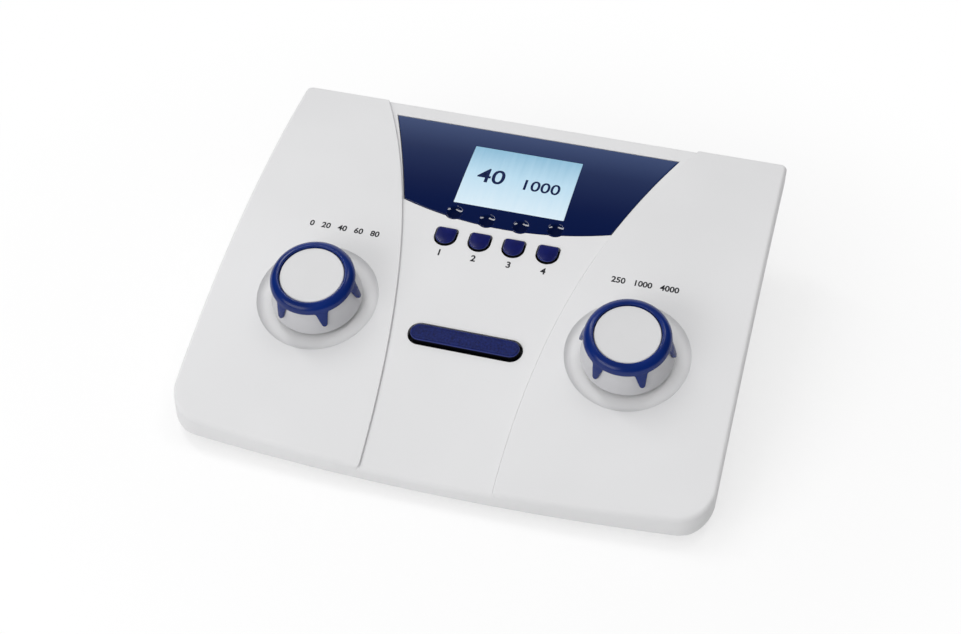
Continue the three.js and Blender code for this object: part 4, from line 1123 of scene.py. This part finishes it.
# Copies turned round z and welded into one ring
copiesRoundAxis = copyTree("copiesRoundAxis", {
    "Claw Count": ("Int", 6), "Weld Distance": ("Float", 0.00001),
}, {
    "spots": ("GeometryNodePoints", {}), "number": ("GeometryNodeInputIndex", {}),
    "step": ("ShaderNodeMath", {"operation": "DIVIDE", "0": 2 * math.pi}),
    "angle": ("ShaderNodeMath", {"operation": "MULTIPLY"}),
    "turn": ("FunctionNodeAxisAngleToRotation", {}), "weld": ("GeometryNodeMergeByDistance", {}),
}, """
    given.Claw Count > spots.Count
    given.Claw Count > step.1
    number.Index > angle.0
    step.Value > angle.1
    angle.Value > turn.Angle
    spots.0 > copies.Points
    turn.Rotation > copies.Rotation
    real.Geometry > weld.Geometry
    given.Weld Distance > weld.Distance
    weld.Geometry > paint.Geometry""")
copiesOnGrid = copyTree("copiesOnGrid", {
    "Columns": ("Int", 2), "Rows": ("Int", 2), "Width": ("Float", 0.1), "Length": ("Float", 0.1),
}, {"grid": ("GeometryNodeMeshGrid", {})}, """
    given.Width > grid.Size X
    given.Length > grid.Size Y
    given.Columns > grid.Vertices X
    given.Rows > grid.Vertices Y
    grid.Mesh > copies.Points
    real.Geometry > paint.Geometry""")
copiesInRow = copyTree("copiesInRow", {"Count": ("Int", 3), "Step": ("Float", 0.02)}, {
    "apart": ("ShaderNodeCombineXYZ", {}), "line": ("GeometryNodeMeshLine", {}),
}, """
    given.Step > apart.X
    given.Count > line.Count
    apart.Vector > line.Offset
    line.Mesh > copies.Points
    real.Geometry > paint.Geometry""")


def knobCrown(side):
    made = grown(crownSector(), copiesRoundAxis, {"Claw Count": crown["claws"],
                                                  "Finish": royalBlue})
    made.name = f"{side}_crown"
    placed(made, dialFrames[side])
    return dress(made, royalBlue, f"{side}_dial", [f"{side}_knob_crown"], crisp=50)


for dialSide in ("left", "right"):
    knobSkirt(dialSide)
    knobCap(dialSide)
    knobCrown(dialSide)
print("dials made")


# Feet with a groove in their sole, one grid of copies
def makeFeet():
    radius, edge = feet["radius"], feet["edge"]
    groove, slope = feet["groove"], feet["slope"]
    profile = [(0, feet["grooveDepth"]), (groove - slope, feet["grooveDepth"]),
               (groove - slope / 2, feet["slopeDepth"]), (groove, 0), (radius - edge, 0),
               (radius - edge * 0.3, edge * 0.3), (radius, edge), (radius, feet["top"]),
               (0, feet["top"])]
    foot = turned("feet", profile, steps=64)
    (left, front), (right, back) = feet["places"][0], feet["places"][3]
    grown(foot, copiesOnGrid, {"Columns": 2, "Rows": 2, "Width": (right - left) * mm,
                               "Length": (back - front) * mm, "Finish": footRubber})
    placed(foot, Matrix.Translation((0, (front + back) / 2, 0)))
    names = [f"foot_{end}_{side}" for end in ("front", "rear") for side in ("left", "right")]
    return dress(foot, footRubber, "case", names, crisp=40)


makeFeet()
print("feet made")

# Rear pieces: copies of the CAD ones with their sharp edges eased. Faces that meet within the
# flat angle are one face, and edges over the sharp angle are eased.
easing = {"flatAngle": 1, "sharpAngle": 40, "segments": 3}
rearPieces = [
    {"node": "rear_panel", "edge": 0.4}, {"node": "usb_socket", "edge": 0.2},
    {"node": "power_inlet", "edge": 0.25}, {"node": "rocker_frame", "edge": 0.5},
    {"node": "phone_left_jack", "edge": 0.25}, {"node": "phone_right_jack", "edge": 0.25},
    {"node": "response_jack", "edge": 0.25},
    {"node": "power_rocker", "edge": 0.6, "body": "power_switch"},
]


def eased(look):
    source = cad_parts[look["node"]]
    name = look["node"] + "_eased"
    form = bmesh.new()
    form.from_mesh(source.data)
    form.transform(source.matrix_world)
    bmesh.ops.remove_doubles(form, verts=form.verts, dist=weldDistance)
    bmesh.ops.dissolve_limit(form, angle_limit=math.radians(easing["flatAngle"]),
                             verts=form.verts, edges=form.edges)
    bmesh.ops.recalc_face_normals(form, faces=form.faces)
    mesh = bpy.data.meshes.new(name)
    form.to_mesh(mesh)
    form.free()
    piece = added(name, mesh)
    change = piece.modifiers.new("eased", "BEVEL")
    change.width = look["edge"] * mm
    change.segments = easing["segments"]
    change.limit_method = "ANGLE"
    change.angle_limit = math.radians(easing["sharpAngle"])
    settle(piece, evaluated(piece))
    isSteel = look["node"] == "usb_socket"
    finish, slotName = (steel, "steel") if isSteel else (darkPlastic, "dark_plastic")
    return dress(piece, finish, look.get("body", "case"), [look["node"]], crisp=35)


for rearLook in rearPieces:
    eased(rearLook)


# Hexagonal nuts of the three jacks, in a row along x
jackNuts = {
    "count": 3, "pitch": 20, "flats": 12.6, "hole": 4.85, "thickness": 2.2, "chamfer": 0.45,
}


def makeJackNuts():
    half, chamfer, steps = jackNuts["flats"] / 2, jackNuts["chamfer"], 72
    low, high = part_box("phone_left_jack_nut")
    centre = (low + high) / 2 / mm

    def outline(limit, depth):
        points = []
        for i in range(steps):
            angle = 2 * math.pi * i / steps
            off = (angle + math.pi / 6) % (math.pi / 3) - math.pi / 6
            radius = min(half / math.cos(off), limit)
            points.append((radius * math.sin(angle), depth, radius * math.cos(angle)))
        return points

    full = half / math.cos(math.pi / 6)
    ends = [-jackNuts["thickness"] / 2, jackNuts["thickness"] / 2]
    rows = [outline(half, ends[0]), outline(full, ends[0] + chamfer),
            outline(full, ends[1] - chamfer), outline(half, ends[1]),
            outline(jackNuts["hole"], ends[1]), outline(jackNuts["hole"], ends[0]),
            outline(half, ends[0])]
    nut = makePiece("jack_nuts", [point for row in rows for point in row],
                    ringFaces(len(rows), steps))
    grown(nut, copiesInRow, {"Count": jackNuts["count"], "Step": jackNuts["pitch"] * mm,
                             "Finish": steel})
    placed(nut, Matrix.Translation(centre))
    names = [f"{jack}_nut" for jack in ("phone_left_jack", "phone_right_jack", "response_jack")]
    return dress(nut, steel, "case", names, crisp=30)


makeJackNuts()
print("rear made")

# CAD nodes that stay take their finish here
carried = {
    darkPlastic: [f"key_switch_{number}" for number in range(1, 5)],
    steel: [f"board_screw_{number}" for number in range(1, 5)] + ["lcd_frame", "inlet_pin"],
    circuitBoard: ["display_board", "key_board", "control_board", "main_board"],
}
for side in ("left", "right"):
    carried[darkPlastic] += [f"tone_switch_{side}", f"{side}_encoder_body"]
    carried[steel] += [f"{side}_encoder_shaft", f"{side}_encoder_nut",
                       f"case_screw_front_{side}", f"case_screw_rear_{side}"]
for finish, names in carried.items():
    for nodeName in names:
        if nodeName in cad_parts:
            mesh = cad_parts[nodeName].data
            mesh.materials.clear()
            mesh.materials.append(finish)


# Plain numbers, printed on the arc
ink = {"thickness": 0.02, "lift": 0.025, "readingLift": 0.02}
prints = [
    {"text": str(number), "x": x, "y": 5.1, "size": 4.4, "weight": 0.12}
    for number, x in enumerate((-22.7, -7.7, 7.7, 22.8), 1)
] + [
    {"text": "0   20   40   60   80", "x": -65.8, "y": 7.6, "size": 4, "lift": 1, "weight": 0.1},
    {"text": "250   1000   4000", "x": 66, "y": 6.7, "size": 4, "lift": 1, "weight": 0.1},
]


def printed(number, look, finish, lift, name="print"):
    curve = bpy.data.curves.new(f"{name}_{number}", "FONT")
    curve.body = look["text"]
    curve.size = look["size"] * mm
    curve.align_x = "CENTER"
    curve.align_y = "CENTER"
    curve.extrude = ink["thickness"] * mm
    curve.resolution_u = 6
    curve.offset = look["weight"] * mm
    text = added(f"{name}_{number}", curve)
    mesh = evaluated(text)
    bpy.data.objects.remove(text)
    for vertex in mesh.vertices:
        x, y, z = vertex.co / mm
        x, y = x + look["x"], y + look["y"]
        vertex.co = Vector((x, y, arcHeight(y, look.get("lift", 0) + lift) + z)) * mm
    return dress(added(f"{name}_{number}", mesh), finish, "case", [], crisp=30)


for index, look in enumerate(prints):
    printed(index + 1, look, printInk, ink["lift"])

readings = [{"text": "40", "x": -12.6, "y": 53, "size": 12.5, "weight": 0.14},
            {"text": "1000", "x": 10, "y": 51.4, "size": 9, "weight": 0.12}]
for index, look in enumerate(readings):
    printed(index + 1, look, navyLens, -lcd["gap"] + ink["readingLift"], "reading")
print("prints made")


# Studio

studio = {
    "size": 3, "floor": (252, 252, 252), "gloss": 0.3, "glow": (0.62, 1),
    "glowRadius": (0.14, 0.3), "ambient": [(0, (124, 124, 124)), (1, (255, 255, 255))],
    "rightShare": 0.45, "glossSide": 0.17, "sideStart": 0.12, "sideDim": 0.9, "frontDim": 0.8,
    "sky": [(0.58, (255, 255, 255)), (0.7, (150, 150, 152)), (0.8, (70, 70, 72)),
            (0.95, (40, 40, 42))],
}


# Floor: pale paper for other light, and to the camera and in gloss a white that dims near the case
def studioFloor():
    size = studio["size"]
    mesh = bpy.data.meshes.new("studio_floor")
    mesh.from_pydata([(-size, -size, 0), (size, -size, 0), (size, size, 0), (-size, size, 0)],
                     [], [(0, 1, 2, 3)])
    material, tree, shader = newMaterial("floorPaper", {
        "Base Color": linear(*studio["floor"]), "Roughness": studio["gloss"],
        "Specular IOR Level": studio["gloss"]})
    nodes = {
        "shader": shader, "surface": tree.nodes["Material Output"],
        "white": addNode(tree, "ShaderNodeEmission", Strength=1),
        "rays": tree.nodes.new("ShaderNodeLightPath"), "seen": reckon(tree, "MAXIMUM"),
        "through": reckon(tree, "MAXIMUM"), "share": reckon(tree, "MULTIPLY"),
        "place": tree.nodes.new("ShaderNodeTexCoord"),
        "away": addNode(tree, "ShaderNodeVectorMath", operation="LENGTH"),
        "glow": mapped(tree, studio["glowRadius"], studio["glow"],
                       interpolation_type="SMOOTHSTEP"),
        "mix": tree.nodes.new("ShaderNodeMixShader"),
    }
    wire(tree, nodes, """
        rays.Is Camera Ray > seen.0
        rays.Is Glossy Ray > seen.1
        seen.Value > through.0
        rays.Is Transmission Ray > through.1
        through.Value > share.0
        place.Object > away.0
        away.Value > glow.Value
        glow.Result > share.1
        share.Value > mix.0
        shader.BSDF > mix.1
        white.Emission > mix.2
        mix.Shader > surface.Surface""")
    mesh.materials.append(material)
    added("studio_floor", mesh)


# World: white to the camera. In gloss it is white near the back horizon and dimmer overhead, in
# front and to both sides; other light falls from above and a little less from the right.
def studioWorld():
    world = bpy.data.worlds.new("studio")
    bpy.context.scene.world = world
    world.use_nodes = True
    tree = world.node_tree
    nodes = {
        "background": tree.nodes["Background"], "rays": tree.nodes.new("ShaderNodeLightPath"),
        "place": tree.nodes.new("ShaderNodeTexCoord"),
        "split": tree.nodes.new("ShaderNodeSeparateXYZ"),
        "offset": reckon(tree, "ADD", **{"1": studio["glossSide"]}),
        "aside": reckon(tree, "ABSOLUTE"),
        "sides": mapped(tree, (studio["sideStart"], 1), (0, studio["sideDim"])),
        "front": mapped(tree, (0, -1), (0, studio["frontDim"])),
        "both": reckon(tree, "ADD"), "dim": reckon(tree, "ADD"),
        "mirrored": shadesOf(tree, studio["sky"]), "soft": shadesOf(tree, studio["ambient"]),
        "right": mapped(tree, (0, 1), (1, studio["rightShare"])),
        "falling": addNode(tree, "ShaderNodeVectorMath", operation="SCALE"),
        "shiny": reckon(tree, "MAXIMUM"),
        "gloss": addNode(tree, "ShaderNodeMix", data_type="RGBA"),
        "seen": addNode(tree, "ShaderNodeMix", data_type="RGBA", B=(1, 1, 1, 1)),
    }
    wire(tree, nodes, """
        place.Generated > split.Vector
        split.X > offset.0
        offset.Value > aside.0
        aside.Value > sides.Value
        split.Y > front.Value
        sides.Result > both.0
        front.Result > both.1
        both.Value > dim.0
        split.Z > dim.1
        dim.Value > mirrored.Fac
        split.Z > soft.Fac
        split.X > right.Value
        soft.Color > falling.0
        right.Result > falling.Scale
        rays.Is Glossy Ray > shiny.0
        rays.Is Transmission Ray > shiny.1
        shiny.Value > gloss.Factor
        falling.Vector > gloss.A
        mirrored.Color > gloss.B
        rays.Is Camera Ray > seen.Factor
        gloss.Result > seen.A
        seen.Result > background.Color""")


lamps = [
    {"name": "smallGlint", "place": (0.4, 0.5, 1.45), "size": (0.14, 0.4), "power": 1.7},
    {"name": "largeGlint", "place": (-0.8, 0.5, 1.45), "size": (0.16, 0.95), "power": 5},
    {"name": "frontLeft", "place": (-0.72, -1.25, 0.6), "size": (1.2, 0.6), "power": 7},
    {"name": "overheadFront", "place": (0, -1, 1.1), "size": (0.5, 0.8), "power": 1,
     "inGloss": False},
]


def studioLamps():
    for look in lamps:
        data = bpy.data.lights.new(look["name"], "AREA")
        data.shape = "RECTANGLE"
        data.size, data.size_y = look["size"]
        data.energy = look["power"]
        lamp = added(look["name"], data)
        lamp.location = look["place"]
        lamp.visible_glossy = look.get("inGloss", True)
        aim = Vector((0, 0, 0.03)) - Vector(look["place"])
        lamp.rotation_euler = aim.to_track_quat("-Z", "Y").to_euler()


camera = {"place": (0.13695, -0.52318, 0.50358), "azimuth": 14.955, "elevation": 42,
          "roll": 0.577, "focal": 1688.25, "frame": 961, "sensor": 36}


def studioCamera():
    azimuth, elevation, roll = (math.radians(camera[k]) for k in ("azimuth", "elevation", "roll"))
    back = Vector((math.sin(azimuth) * math.cos(elevation),
                   -math.cos(azimuth) * math.cos(elevation), math.sin(elevation)))
    right = Vector((math.cos(azimuth), math.sin(azimuth), 0))
    down = (-back).cross(right)
    across = right * math.cos(roll) - down * math.sin(roll)
    below = right * math.sin(roll) + down * math.cos(roll)
    turn = Matrix((across, -below, back)).transposed()
    data = bpy.data.cameras.new("photo_view")
    data.sensor_fit = "HORIZONTAL"
    data.sensor_width = camera["sensor"]
    data.lens = camera["focal"] / camera["frame"] * camera["sensor"]
    data.clip_start = 0.01
    seen = added("photo_view", data)
    seen.matrix_world = Matrix.Translation(camera["place"]) @ turn.to_4x4()
    bpy.context.scene.camera = seen


studioFloor()
studioWorld()
studioLamps()
studioCamera()
bpy.context.scene.view_settings.view_transform = "Standard"
print("studio made")
